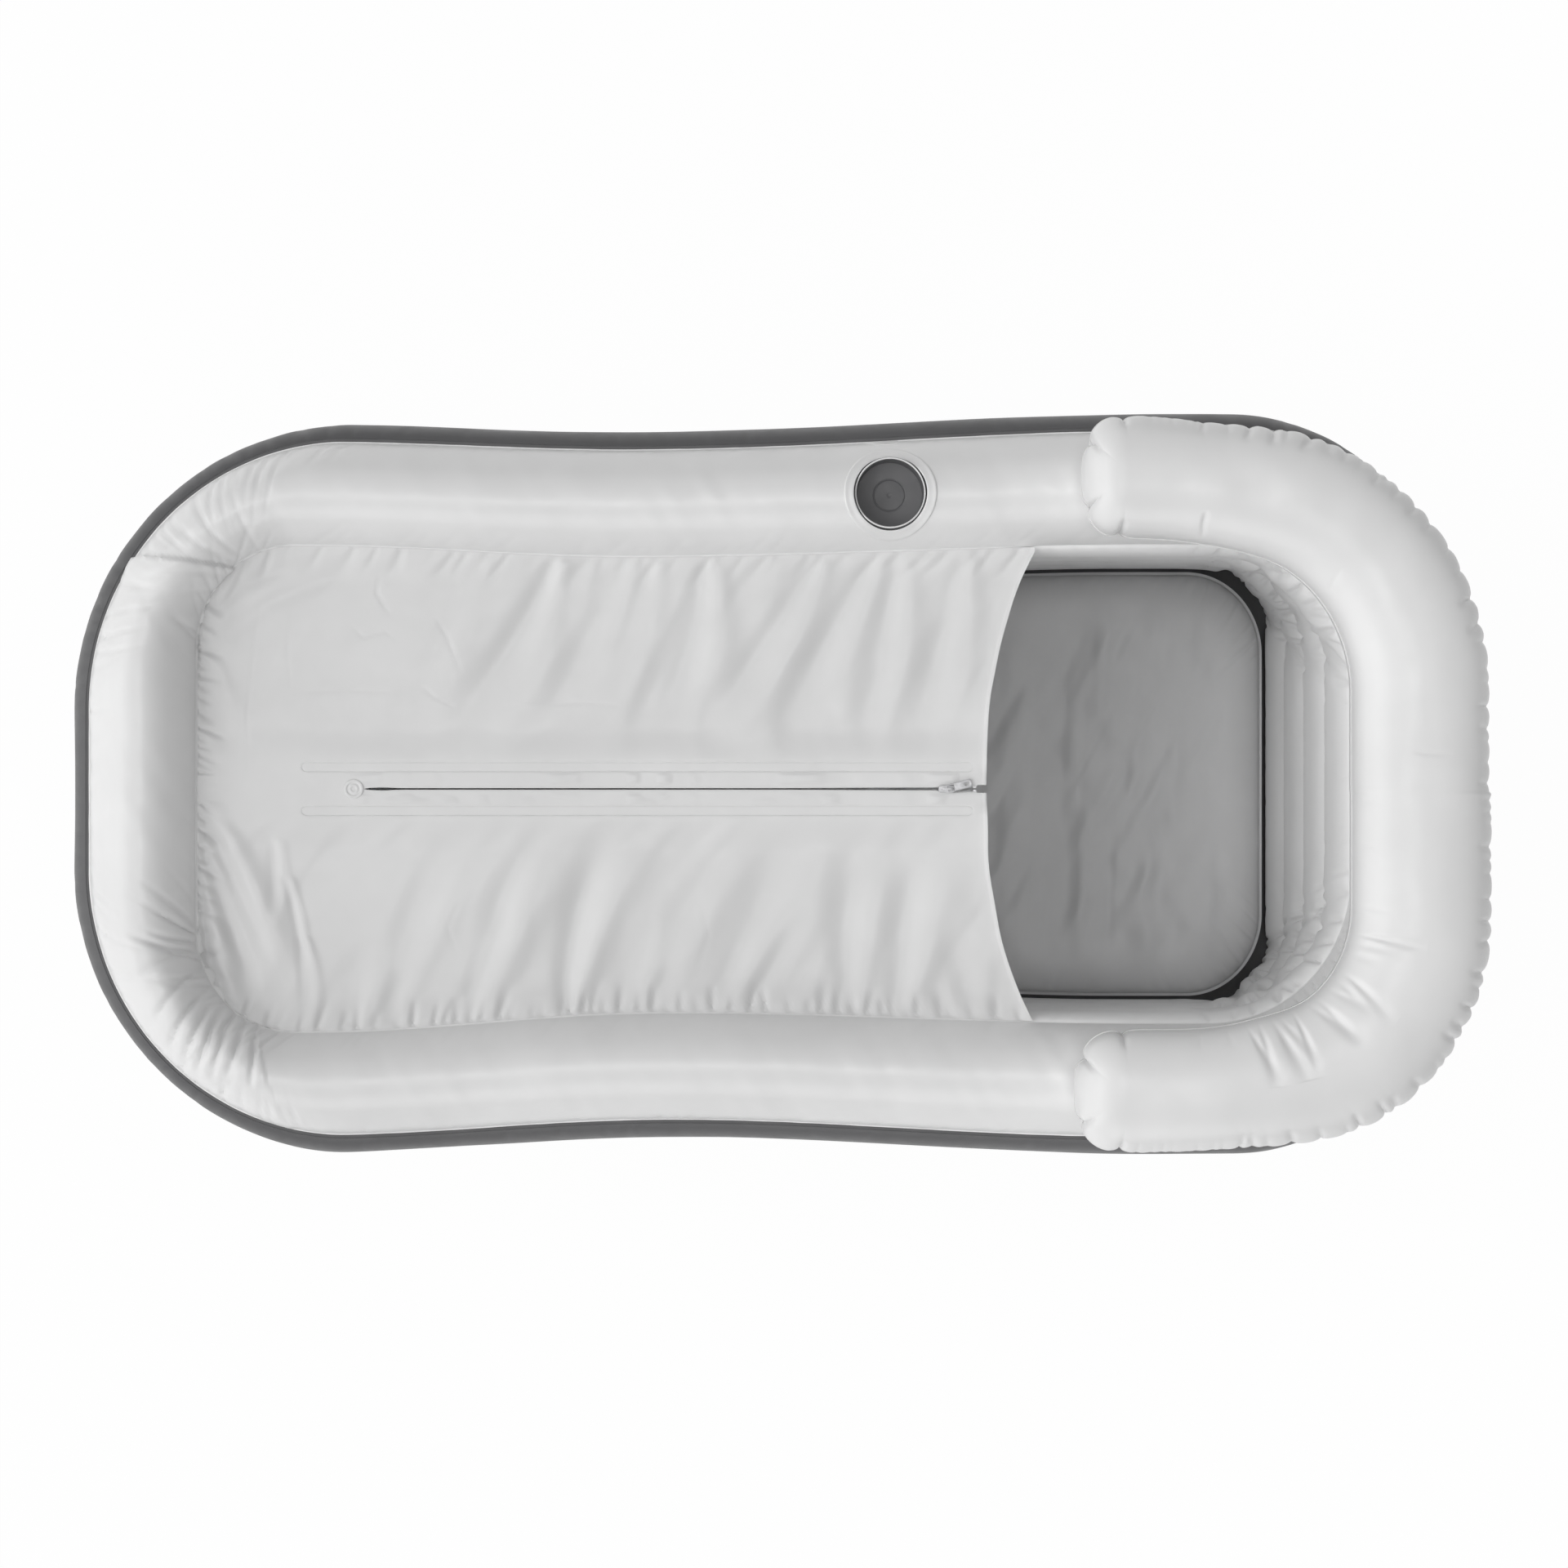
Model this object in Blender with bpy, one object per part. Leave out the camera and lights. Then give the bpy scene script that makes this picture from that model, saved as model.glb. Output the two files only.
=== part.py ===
"""Inflatable bathtub: ribbed body, floor cushion, headrest, zipped cover, cup holder, valves and drain.

Metres, +Z up. The foot end is at -X, the head end at +X, and the bather's right hand is at +Y.
The origin is on the ground under the middle of the tub.
"""

import math
from collections import namedtuple

import bmesh
import bpy
from mathutils import Matrix, Vector

# Sheet and fits
SHEET = 0.0008
GAP = 0.0003
OVERRUN = 0.02
SHARP_ANGLE = 40.0

# Wall chamber seen from above, at its base line
TUB_FOOT = 0.776
TUB_HEAD = 0.776
TUB_HALF_HEAD = 0.409
FOOT_NARROWING = 0.007
WAIST_NARROWING = 0.018
TUB_CORNER_FOOT = 0.2935
TUB_CORNER_HEAD = 0.2435

# Where the tub is narrowest, and where it reaches its full width on either side
WAIST_X = -0.115
SHOULDER_FOOT_X = -0.50
SHOULDER_HEAD_X = 0.45

# How far the seam under the rim stands inside that base line
SEAM_INSET_FOOT = 0.026
SEAM_INSET_SIDE = 0.013
SEAM_INSET_HEAD = 0.011
SEAM_INSET_CORNER = 0.020

# Wall chamber's thickness at the floor, and the corners of the bathing well inside it
WALL_FOOT = 0.149
WALL_HEAD = 0.123
WALL_SIDE_FOOT = 0.128
WALL_SIDE_WAIST = 0.134
WALL_SIDE_HEAD = 0.140
WELL_CORNER_FOOT = 0.11
WELL_CORNER_HEAD = 0.16
WELL_FLARE_HEAD = 0.017

# Wall heights and ribs
OUTER_SEAM_Z = 0.460
INNER_SEAM_RISE = 0.010
RINGS = 4
OUTER_BULGE = 0.024
INNER_BULGE = 0.012
RING_SHARES = (0.22, 0.78)
SEAM_LAP = 0.005
BASE_LAP = 0.012
RIM_RISE = 0.063
RIM_STEPS = 8
RIM_FULLNESS = 2.6
RIM_ROUNDNESS = 0.75

# Points round a plan outline
END_STEPS = 1
CORNER_STEPS = 6
SIDE_STEPS = 3

# Tension webs inside the wall chamber
WEB_EDGE_CLEAR = 0.0016
WEB_WINDOW_SHARES = (0.35, 0.65)
WEB_WINDOW_EVERY = 5

# Floor cushion
PAD_MARGIN = 0.014
PAD_HEIGHT = 0.050
PAD_CROWN_INSET = 0.070
PAD_CROWN_SHARES = ((0.0, 0.5), (0.06, 0.78), (0.25, 0.92), (0.6, 0.98), (1.0, 1.0))
PAD_EDGE_INSET = 0.010

# Headrest cushion, over the tub's head end and the well's edge
REST_LENGTH = 0.448
REST_OVERHANG = 0.024
REST_SIDE_INSET = 0.009
REST_WELL_OVERHANG = 0.004
REST_WELL_SIDE_OVERHANG = 0.002
REST_OUTER_CORNER = 0.26
REST_INNER_CORNER = 0.16
REST_SEAM_RISE = 0.062
REST_CROWN = 0.055
REST_DEPTH = 0.072
REST_ROUNDNESS = 0.8
REST_SIDES = 12
REST_ARM_STEPS = 4
REST_CORNER_STEPS = 6
REST_HEAD_STEPS = 6
REST_END_LENGTH = 0.050
REST_END_SHARES = ((0.0, 0.42), (0.14, 0.72), (0.45, 0.93))

# Cup holder, from the tub's head end and inward of the rim's middle
CUP_FROM_HEAD = 0.6255
CUP_INSET = 0.0023
CUP_RADIUS = 0.040
CUP_FLOOR_RADIUS = 0.036
CUP_DEPTH = 0.033
CUP_WALL = 0.0012
CUP_LIP = 0.0018
CUP_COLLAR_RADIUS = 0.0515
CUP_COLLAR_THICK = 0.0012
CUP_SIDES = 32

# Cover over the foot part, and the open length between it and the well's head end
COVER_EDGE_CLEAR = 0.0016
OPEN_LENGTH = 0.3927
COVER_EDGE_SWEEP = 0.054
COVER_EDGE_POWER = 2.5
COVER_COLUMNS = 26
COVER_ROW_SHARES = (0.0, 0.2, 0.4, 0.6, 0.8, 1.0)
COVER_FLAT_HALF = 0.032
COVER_FOLD = 0.005
COVER_FOLD_LENGTH = 0.17
COVER_FOLD_LEAN = 62.0
COVER_FOLD_START_SHARE = 0.25
COVER_SAG = 0.006
FOOT_CROWDING = 1.35

# Slit, zip and its welds, from the well's foot, the slit's foot end and the cover's free edge
ZIP_Y = -0.0055
SLIT_FROM_WELL_FOOT = 0.1885
SLIT_HALF = 0.0012
SLIT_OPEN_HALF = 0.0043
SLIT_OPENS_FROM_EDGE = 0.1403
SLIT_OPEN_FROM_EDGE = 0.0603
STRIP_OFFSET = 0.0245
STRIP_WIDTH = 0.0085
STRIP_THICK = 0.0010
STRIP_PAST_SLIT = 0.0695
STRIP_FROM_EDGE = 0.0153
STRIP_END_STEPS = 6
DISC_PAST_SLIT = 0.0085
DISC_RADIUS = 0.011
DISC_THICK = 0.0012
DISC_DIMPLE = 0.0006
DISC_SIDES = 28
TAPE_WIDTH = 0.0120
TAPE_THICK = 0.0006
TAPE_PAST_SLIT = 0.0235
TAPE_FROM_EDGE = 0.0103
COIL_INNER = 0.0010
COIL_WIDTH = 0.0018
COIL_HEIGHT = 0.0022
COIL_PAST_SLIT = 0.0195
COIL_FROM_EDGE = 0.0153
COIL_BEVEL = 0.0004
STOP_LENGTH = 0.0035

# Zip slider and pull tab
SLIDER_FROM_EDGE = 0.0438
SLIDER_LENGTH = 0.0200
SLIDER_WIDTH = 0.0085
SLIDER_PLATE = 0.0012
SLIDER_NECK = 0.0010
SLIDER_BEVEL = 0.0004
BRIDGE_LENGTH = 0.0126
BRIDGE_WIDTH = 0.0024
BRIDGE_HEIGHT = 0.0036
BRIDGE_WALL = 0.0011
PULL_LENGTH = 0.029
PULL_WIDTH = 0.0095
PULL_THICK = 0.0013
PULL_YAW = 15.0
PULL_WINDOW_LENGTH = 0.0072
PULL_WINDOW_WIDTH = 0.0066
PULL_GRIP_LENGTH = 0.0050
PULL_GRIP_WIDTH = 0.0040
PULL_GRIP_INSET = 0.0032
PULL_CORNER_SHARE = 0.25

# Air valves: wall valve first, then the small cushion valves
VALVE_SIDES = 24
WALL_VALVE_FLANGE = 0.021
WALL_VALVE_STEM = 0.0100
WALL_VALVE_BORE = 0.0080
WALL_VALVE_DEPTH = 0.018
WALL_VALVE_Y = 0.060
WALL_VALVE_RING = 2
SMALL_VALVE_FLANGE = 0.0155
SMALL_VALVE_STEM = 0.0072
SMALL_VALVE_BORE = 0.0055
SMALL_VALVE_DEPTH = 0.012
VALVE_PLATE = 0.0012
CAP_PLATE = 0.0015
CAP_OVERLAP = 0.0022
CAP_PLUG_SHARE = 0.84
CAP_PLUG_TIP_SHARE = 0.60
CAP_PLUG_DEPTH_SHARE = 0.42
CAP_STRAP_WIDTH_SHARE = 0.75
CAP_PIVOT_SHARE = 0.90
FLAP_THICK = 0.0006
FLAP_OVERLAP = 0.0004
PAD_VALVE_FROM_EDGE = 0.101

# Drain through the foot end's lowest ring
DRAIN_FLANGE = 0.0240
DRAIN_STEM = 0.0125
DRAIN_BORE = 0.0105
DRAIN_STEM_DEPTH = 0.016
PLUG_HEAD_RADIUS = 0.0155
PLUG_HEAD_THICK = 0.0030
PLUG_REACH = 0.012
PLUG_BORE_CLEAR = 0.0005
PLUG_TIP_SHARE = 0.85

# Colours
DARK_GREY = (0.095, 0.095, 0.098)
MID_GREY = (0.29, 0.29, 0.295)
WHITE = (0.78, 0.78, 0.78)
COVER_WHITE = (0.70, 0.70, 0.70)
CLEAR_GREY = (0.55, 0.56, 0.57)
STEEL = (0.62, 0.62, 0.63)
CUP_GREY = (0.13, 0.13, 0.135)

Outline = namedtuple("Outline", "foot head half_foot half_waist half_head corner_foot corner_head")


def clear_scene():
    for found in list(bpy.data.objects):
        bpy.data.objects.remove(found, do_unlink=True)


def make_material(name, colour, roughness, metallic=0.0):
    made = bpy.data.materials.new(name)
    made.use_nodes = True
    shader = made.node_tree.nodes["Principled BSDF"]
    shader.inputs["Base Color"].default_value = (*colour, 1.0)
    shader.inputs["Roughness"].default_value = roughness
    shader.inputs["Metallic"].default_value = metallic
    made.diffuse_color = (*colour, 1.0)
    return made


def add_object(name, mesh_data, material, smooth=True):
    """Turns a bmesh into a named object whose faces point outwards."""
    bmesh.ops.recalc_face_normals(mesh_data, faces=mesh_data.faces)
    mesh = bpy.data.meshes.new(name)
    mesh_data.to_mesh(mesh)
    mesh_data.free()
    if smooth:
        mesh.shade_smooth()
        mesh.set_sharp_from_angle(angle=math.radians(SHARP_ANGLE))
    made = bpy.data.objects.new(name, mesh)
    bpy.context.scene.collection.objects.link(made)
    if material:
        mesh.materials.append(material)
    return made


def as_cutter(tool):
    tool.hide_render = True
    tool.display_type = "WIRE"
    return tool


def combine(target, tool, operation):
    """Adds a Boolean against a tool that itself stays out of the model."""
    as_cutter(tool)
    change = target.modifiers.new(tool.name, "BOOLEAN")
    change.operation = operation
    change.object = tool
    change.solver = "EXACT"


def set_origin(piece, point):
    """Moves a piece's origin onto its joint, with the piece where it was."""
    piece.data.transform(Matrix.Translation(-Vector(point)))
    piece.location = point


def mixed(first, second, share):
    return Outline(*(a + (b - a) * share for a, b in zip(first, second)))


def grown(outline, by):
    return Outline(*(value + by for value in outline))


def width_ratio(outline, x):
    """How much wider the outline is at x than at its waist, easing out to the shoulders."""
    toward_head = x > WAIST_X
    shoulder = SHOULDER_HEAD_X if toward_head else SHOULDER_FOOT_X
    end_half = outline.half_head if toward_head else outline.half_foot
    share = min(1.0, (x - WAIST_X) / (shoulder - WAIST_X))
    return 1 + (end_half / outline.half_waist - 1) * (1 - math.cos(math.pi * share)) / 2


def quarter(length, half, corner):
    """Plan points from the end's middle, round the corner, to just before the side's middle."""
    straight = half - corner
    points = [(length, straight * i / END_STEPS) for i in range(END_STEPS)]
    for i in range(CORNER_STEPS + 1):
        angle = math.pi / 2 * i / CORNER_STEPS
        points.append((length - corner + corner * math.cos(angle), straight + corner * math.sin(angle)))
    for i in range(1, SIDE_STEPS):
        points.append(((length - corner) * (1 - i / SIDE_STEPS), half))
    return points


def plan(outline):
    """Plan points, anticlockwise from the middle of the head end."""
    head = quarter(outline.head, outline.half_waist, outline.corner_head)
    foot = quarter(outline.foot, outline.half_waist, outline.corner_foot)
    upper = head + [(0, outline.half_waist)] + [(-x, y) for x, y in reversed(foot)]
    lower = [(x, -y) for x, y in reversed(upper[1:-1])]
    return [(x, y * width_ratio(outline, x)) for x, y in upper + lower]


def loop(outline, z):
    return [Vector((x, y, z)) for x, y in plan(outline)]


def half_width(outline, x):
    """Half the width of the outline at x, on its straight runs between points."""
    side = [(px, py) for px, py in plan(outline) if py > 0]
    side.sort()
    for (x0, y0), (x1, y1) in zip(side, side[1:]):
        if x0 <= x <= x1 and x1 > x0:
            return y0 + (y1 - y0) * (x - x0) / (x1 - x0)
    return side[0][1] if x < side[0][0] else side[-1][1]


def ring_mesh(loops):
    """A closed ring skinned over loops of equal count, the last joined to the first."""
    mesh_data = bmesh.new()
    made = [[mesh_data.verts.new(point) for point in row] for row in loops]
    count = len(made[0])
    for row, following in zip(made, made[1:] + made[:1]):
        for i in range(count):
            j = (i + 1) % count
            mesh_data.faces.new((row[i], row[j], following[j], following[i]))
    return mesh_data


def offset_rows(rows, distance):
    """Rows moved square to the sheet: outward where the rows climb, upward where they run inward."""
    count = len(rows[0])
    moved = [[None] * count for _ in rows]
    for i in range(count):
        before, after = rows[0][i - 1], rows[0][(i + 1) % count]
        tangent = Vector((after.x - before.x, after.y - before.y, 0)).normalized()
        line = [row[i] for row in rows]
        normals = [tangent.cross(b - a).normalized() for a, b in zip(line, line[1:])]
        for j, point in enumerate(line):
            ahead = normals[min(j, len(normals) - 1)]
            behind = normals[max(j - 1, 0)]
            mitre = (ahead + behind).normalized()
            moved[j][i] = point + mitre * (distance / mitre.dot(ahead))
    return moved


def sheet_ring(name, rows, material):
    """A sheet one thickness deep behind the given rows."""
    return add_object(name, ring_mesh(rows + offset_rows(rows, -SHEET)[::-1]), material)


def tub_base():
    return Outline(TUB_FOOT, TUB_HEAD, TUB_HALF_HEAD - FOOT_NARROWING, TUB_HALF_HEAD - WAIST_NARROWING,
                   TUB_HALF_HEAD, TUB_CORNER_FOOT, TUB_CORNER_HEAD)


def outer_seam():
    tub = tub_base()
    return Outline(tub.foot - SEAM_INSET_FOOT, tub.head - SEAM_INSET_HEAD, tub.half_foot - SEAM_INSET_SIDE,
                   tub.half_waist - SEAM_INSET_SIDE, tub.half_head - SEAM_INSET_SIDE,
                   tub.corner_foot - SEAM_INSET_CORNER, tub.corner_head - SEAM_INSET_CORNER)


def well_floor():
    tub = tub_base()
    return Outline(tub.foot - WALL_FOOT, tub.head - WALL_HEAD, tub.half_foot - WALL_SIDE_FOOT,
                   tub.half_waist - WALL_SIDE_WAIST, tub.half_head - WALL_SIDE_HEAD,
                   WELL_CORNER_FOOT, WELL_CORNER_HEAD)


def inner_seam():
    floor = well_floor()
    return floor._replace(head=floor.head + WELL_FLARE_HEAD)


def outer_line(share):
    """The outer wall's crease outline at a share of its height."""
    return mixed(tub_base(), outer_seam(), share)


def inner_line(share):
    return mixed(well_floor(), inner_seam(), share)


def base_level():
    """Underside of the walls, one gap above the base sheet."""
    return SHEET + GAP


def inner_seam_level():
    return OUTER_SEAM_Z + INNER_SEAM_RISE


def rim_crown_level():
    return OUTER_SEAM_Z + RIM_RISE


def rest_seam_level():
    return rim_crown_level() + REST_SEAM_RISE


def ring_level(ring, share, top):
    return base_level() + (top - base_level()) * (ring + share) / RINGS


def outer_crest(ring):
    return grown(outer_line((ring + 0.5) / RINGS), OUTER_BULGE)


def inner_crest(ring):
    return grown(inner_line((ring + 0.5) / RINGS), -INNER_BULGE)


def outer_wall_rows():
    rows = [loop(grown(outer_line(0), -BASE_LAP), base_level()), loop(outer_line(0), base_level())]
    for ring in range(RINGS):
        for share in RING_SHARES:
            rows.append(loop(outer_crest(ring), ring_level(ring, share, OUTER_SEAM_Z)))
        rows.append(loop(outer_line((ring + 1) / RINGS), ring_level(ring, 1, OUTER_SEAM_Z)))
    rows.append(loop(grown(outer_line(1), SEAM_LAP), OUTER_SEAM_Z))
    return rows


def inner_wall_rows():
    rows = [loop(grown(inner_line(1), -SEAM_LAP), inner_seam_level()), loop(inner_line(1), inner_seam_level())]
    for ring in reversed(range(RINGS)):
        for share in reversed(RING_SHARES):
            rows.append(loop(inner_crest(ring), ring_level(ring, share, inner_seam_level())))
        rows.append(loop(inner_line(ring / RINGS), ring_level(ring, 0, inner_seam_level())))
    rows.append(loop(grown(inner_line(0), BASE_LAP), base_level()))
    return rows


def rim_rows():
    """The rim's top surface, from the outer seam's lap, over the crown, to the inner seam's lap."""
    lap_rise = 2 * SHEET + GAP
    low_outer = OUTER_SEAM_Z + lap_rise
    low_inner = inner_seam_level() + lap_rise
    outer = loop(outer_seam(), low_outer)
    inner = loop(inner_seam(), low_inner)
    rows = [loop(grown(outer_seam(), SEAM_LAP), low_outer)]
    for step in range(RIM_STEPS + 1):
        across = (1 - math.cos(math.pi * step / RIM_STEPS)) / 2
        crown = max(0.0, 1 - abs(2 * across - 1) ** RIM_FULLNESS) ** RIM_ROUNDNESS
        lift = Vector((0, 0, RIM_RISE * crown))
        rows.append([a.lerp(b, across) + lift for a, b in zip(outer, inner)])
    rows.append(loop(grown(inner_seam(), -SEAM_LAP), low_inner))
    return rows


def at_height(row, z):
    return [Vector((point.x, point.y, z)) for point in row]


def space_above_rim(distance):
    rows = offset_rows(rim_rows(), distance)
    high = rest_seam_level() + REST_CROWN + OVERRUN
    return ring_mesh(rows + [at_height(rows[-1], high), at_height(rows[0], high)])


def space_under_rim(distance):
    rows = offset_rows(rim_rows(), distance)
    low = OUTER_SEAM_Z - OVERRUN
    return ring_mesh(rows + [at_height(rows[-1], low), at_height(rows[0], low)])


def cap_mesh(loops):
    """A closed body skinned over stacked loops, with a face over each end."""
    mesh_data = bmesh.new()
    made = [[mesh_data.verts.new(point) for point in row] for row in loops]
    count = len(made[0])
    for row, following in zip(made, made[1:]):
        for i in range(count):
            j = (i + 1) % count
            mesh_data.faces.new((row[i], row[j], following[j], following[i]))
    mesh_data.faces.new(made[0])
    mesh_data.faces.new(made[-1])
    return mesh_data


def prism(points, low, high, place):
    """A flat outline extruded between two levels of a local frame."""
    rows = [[place @ Vector((x, y, z)) for x, y in points] for z in (low, high)]
    return cap_mesh(rows)


def turned(profile, place, sides):
    """A profile of (radius, height) points turned about the local Z axis; zero radii close on the axis."""
    mesh_data = bmesh.new()
    rows = []
    for radius, height in profile:
        if radius == 0:
            rows.append([mesh_data.verts.new(place @ Vector((0, 0, height)))])
            continue
        angles = [2 * math.pi * (i + 0.5) / sides for i in range(sides)]
        spots = [Vector((radius * math.cos(a), radius * math.sin(a), height)) for a in angles]
        rows.append([mesh_data.verts.new(place @ spot) for spot in spots])
    pairs = list(zip(rows, rows[1:]))
    if len(rows[0]) > 1:
        pairs.append((rows[-1], rows[0]))
    for row, following in pairs:
        for i in range(sides):
            j = (i + 1) % sides
            corners = [row[i % len(row)], row[j % len(row)], following[j % len(following)],
                       following[i % len(following)]]
            unique = list(dict.fromkeys(corners))
            if len(unique) > 2:
                mesh_data.faces.new(unique)
    return mesh_data


def box(x0, x1, y0, y1, z0, z1):
    return prism([(x0, y0), (x1, y0), (x1, y1), (x0, y1)], z0, z1, Matrix())


def bevelled(piece, width):
    change = piece.modifiers.new("edges", "BEVEL")
    change.width = width
    change.segments = 1
    change.limit_method = "ANGLE"
    return piece


def rod_cutter(name, place, radius, low, high):
    """A round cutter along a frame's Z axis."""
    profile = [(0, low), (radius, low), (radius, high), (0, high)]
    return add_object(name, turned(profile, place, VALVE_SIDES), None)


def frame_at(origin, normal, up):
    """A frame on a wall: Z outward, X as near to up as the wall allows."""
    z_axis = Vector(normal).normalized()
    toward = Vector(up)
    x_axis = (toward - z_axis * toward.dot(z_axis)).normalized()
    y_axis = z_axis.cross(x_axis)
    place = Matrix((x_axis, y_axis, z_axis)).transposed().to_4x4()
    place.translation = origin
    return place


def make_body(dark, white):
    outer = sheet_ring("outer_wall", outer_wall_rows(), dark)
    inner = sheet_ring("inner_wall", inner_wall_rows(), white)
    rim = sheet_ring("top_rim", rim_rows(), white)
    floor = [loop(outer_line(0), z) for z in (0, SHEET)]
    add_object("base_sheet", cap_mesh(floor), dark, smooth=False)
    return outer, inner, rim


def make_web(number, white):
    """A flat band between the two walls at one crease, with windows that let the air through."""
    share = number / RINGS
    inner = loop(grown(inner_line(share), WEB_EDGE_CLEAR), ring_level(number, 0, inner_seam_level()))
    outer = loop(grown(outer_line(share), -WEB_EDGE_CLEAR), ring_level(number, 0, OUTER_SEAM_Z))
    shares = (0.0, *WEB_WINDOW_SHARES, 1.0)
    mesh_data = bmesh.new()
    rows = [[mesh_data.verts.new(a.lerp(b, s)) for a, b in zip(inner, outer)] for s in shares]
    count = len(inner)
    for column in range(len(shares) - 1):
        for i in range(count):
            if column == 1 and i % WEB_WINDOW_EVERY == 0:
                continue
            j = (i + 1) % count
            mesh_data.faces.new((rows[column][i], rows[column][j], rows[column + 1][j], rows[column + 1][i]))
    web = add_object(f"tension_web_{number}", mesh_data, white, smooth=False)
    thicken = web.modifiers.new("sheet", "SOLIDIFY")
    thicken.thickness = SHEET
    thicken.offset = 0


def pad_edge():
    return grown(well_floor(), -PAD_MARGIN - INNER_BULGE)


def make_floor_pad(grey):
    """An inflated cushion: welded edge at half height, drawn in, with a low crown."""
    outline = pad_edge()
    low = base_level()
    rows = [loop(grown(outline, -PAD_EDGE_INSET), low)]
    for inset_share, height_share in PAD_CROWN_SHARES:
        level = low + (PAD_HEIGHT - low) * height_share
        rows.append(loop(grown(outline, -PAD_CROWN_INSET * inset_share), level))
    return add_object("floor_pad", cap_mesh(rows), grey)


def rest_rails():
    """Outer and inner edge of the headrest in plan, from one arm's end to the other."""
    outer, inner = [], []
    outer_x, outer_y = TUB_HEAD + REST_OVERHANG, TUB_HALF_HEAD - REST_SIDE_INSET
    well = well_floor()
    inner_x, inner_y = well.head - REST_WELL_OVERHANG, well.half_head - REST_WELL_SIDE_OVERHANG
    end_x = outer_x - REST_LENGTH
    outer_turn = Vector((outer_x - REST_OUTER_CORNER, outer_y - REST_OUTER_CORNER))
    inner_turn = Vector((inner_x - REST_INNER_CORNER, inner_y - REST_INNER_CORNER))
    for share, _ in REST_END_SHARES:
        x = end_x + REST_END_LENGTH * share
        outer.append((x, outer_y))
        inner.append((x, inner_y))
    arm_start = end_x + REST_END_LENGTH
    for i in range(REST_ARM_STEPS):
        share = i / REST_ARM_STEPS
        outer.append((arm_start + (outer_turn.x - arm_start) * share, outer_y))
        inner.append((arm_start + (inner_turn.x - arm_start) * share, inner_y))
    for i in range(REST_CORNER_STEPS + 1):
        angle = math.pi / 2 * (1 - i / REST_CORNER_STEPS)
        reach = Vector((math.cos(angle), math.sin(angle)))
        outer.append(tuple(outer_turn + reach * REST_OUTER_CORNER))
        inner.append(tuple(inner_turn + reach * REST_INNER_CORNER))
    for i in range(1, REST_HEAD_STEPS // 2 + 1):
        share = 1 - i / (REST_HEAD_STEPS // 2)
        outer.append((outer_x, outer_turn.y * share))
        inner.append((inner_x, inner_turn.y * share))
    outer += [(x, -y) for x, y in reversed(outer[:-1])]
    inner += [(x, -y) for x, y in reversed(inner[:-1])]
    return outer, inner


def rest_section(outer, inner, scale):
    """One cross-section of the cushion between its two edges, rounder above than below."""
    middle = (Vector(outer) + Vector(inner)) / 2
    half = (Vector(outer) - Vector(inner)) / 2 * scale
    points = []
    for i in range(REST_SIDES):
        angle = 2 * math.pi * (i + 0.5) / REST_SIDES
        across = math.copysign(abs(math.cos(angle)) ** REST_ROUNDNESS, math.cos(angle))
        rise = math.copysign(abs(math.sin(angle)) ** REST_ROUNDNESS, math.sin(angle))
        tall = REST_CROWN if rise > 0 else REST_DEPTH
        spot = middle + half * across
        points.append(Vector((spot.x, spot.y, rest_seam_level() + tall * rise * scale)))
    return points


def make_headrest(white):
    outer, inner = rest_rails()
    ends = [scale for _, scale in REST_END_SHARES]
    scales = ends + [1.0] * (len(outer) - 2 * len(ends)) + ends[::-1]
    sections = [rest_section(a, b, s) for a, b, s in zip(outer, inner, scales)]
    rest = add_object("headrest", cap_mesh(sections), white)
    seat = add_object("headrest_seat_cutter", space_under_rim(GAP), None)
    combine(rest, seat, "DIFFERENCE")
    return rest


def cup_spot():
    """The cup holder's middle, on the rim's side."""
    x = TUB_HEAD - CUP_FROM_HEAD
    rim_middle = (half_width(outer_seam(), x) + half_width(inner_seam(), x)) / 2
    return x, rim_middle - CUP_INSET, 0


def make_cup_holder(rim, dark, white):
    """A pocket let into the rim, its lip and weld collar following the rim's crown."""
    place = Matrix.Translation(cup_spot())
    bend = rim_crown_level()
    floor = bend - CUP_DEPTH
    low = floor - OVERRUN
    high = bend + OVERRUN
    outside = CUP_RADIUS + GAP
    hole_profile = [(0, low), (outside, low), (outside, high), (0, high)]
    hole = add_object("cup_hole_cutter", turned(hole_profile, place, CUP_SIDES), None)
    combine(rim, hole, "DIFFERENCE")
    floor_top = floor + CUP_WALL
    pocket_profile = [(0, floor), (CUP_FLOOR_RADIUS, floor), (CUP_RADIUS, bend), (CUP_RADIUS, high),
                      (CUP_RADIUS - CUP_WALL, high), (CUP_RADIUS - CUP_WALL, bend),
                      (CUP_FLOOR_RADIUS - CUP_WALL, floor_top), (0, floor_top)]
    pocket = add_object("cup_pocket", turned(pocket_profile, place, CUP_SIDES), dark)
    trim = add_object("cup_lip_cutter", space_above_rim(CUP_LIP), None)
    combine(pocket, trim, "DIFFERENCE")
    collar_profile = [(outside, low), (CUP_COLLAR_RADIUS, low), (CUP_COLLAR_RADIUS, high), (outside, high)]
    collar = add_object("cup_collar", turned(collar_profile, place, CUP_SIDES), white)
    rows = rim_rows()
    band = ring_mesh(offset_rows(rows, GAP) + offset_rows(rows, GAP + CUP_COLLAR_THICK)[::-1])
    combine(collar, add_object("cup_collar_cutter", band, None), "INTERSECT")


def cover_level():
    """Top of the cover where it is welded under the inner seam's lap."""
    return inner_seam_level() - GAP


def free_edge_x():
    """Where the cover's free edge crosses the zip."""
    return well_floor().head - OPEN_LENGTH


def slit_foot_x():
    return SLIT_FROM_WELL_FOOT - well_floor().foot


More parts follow.
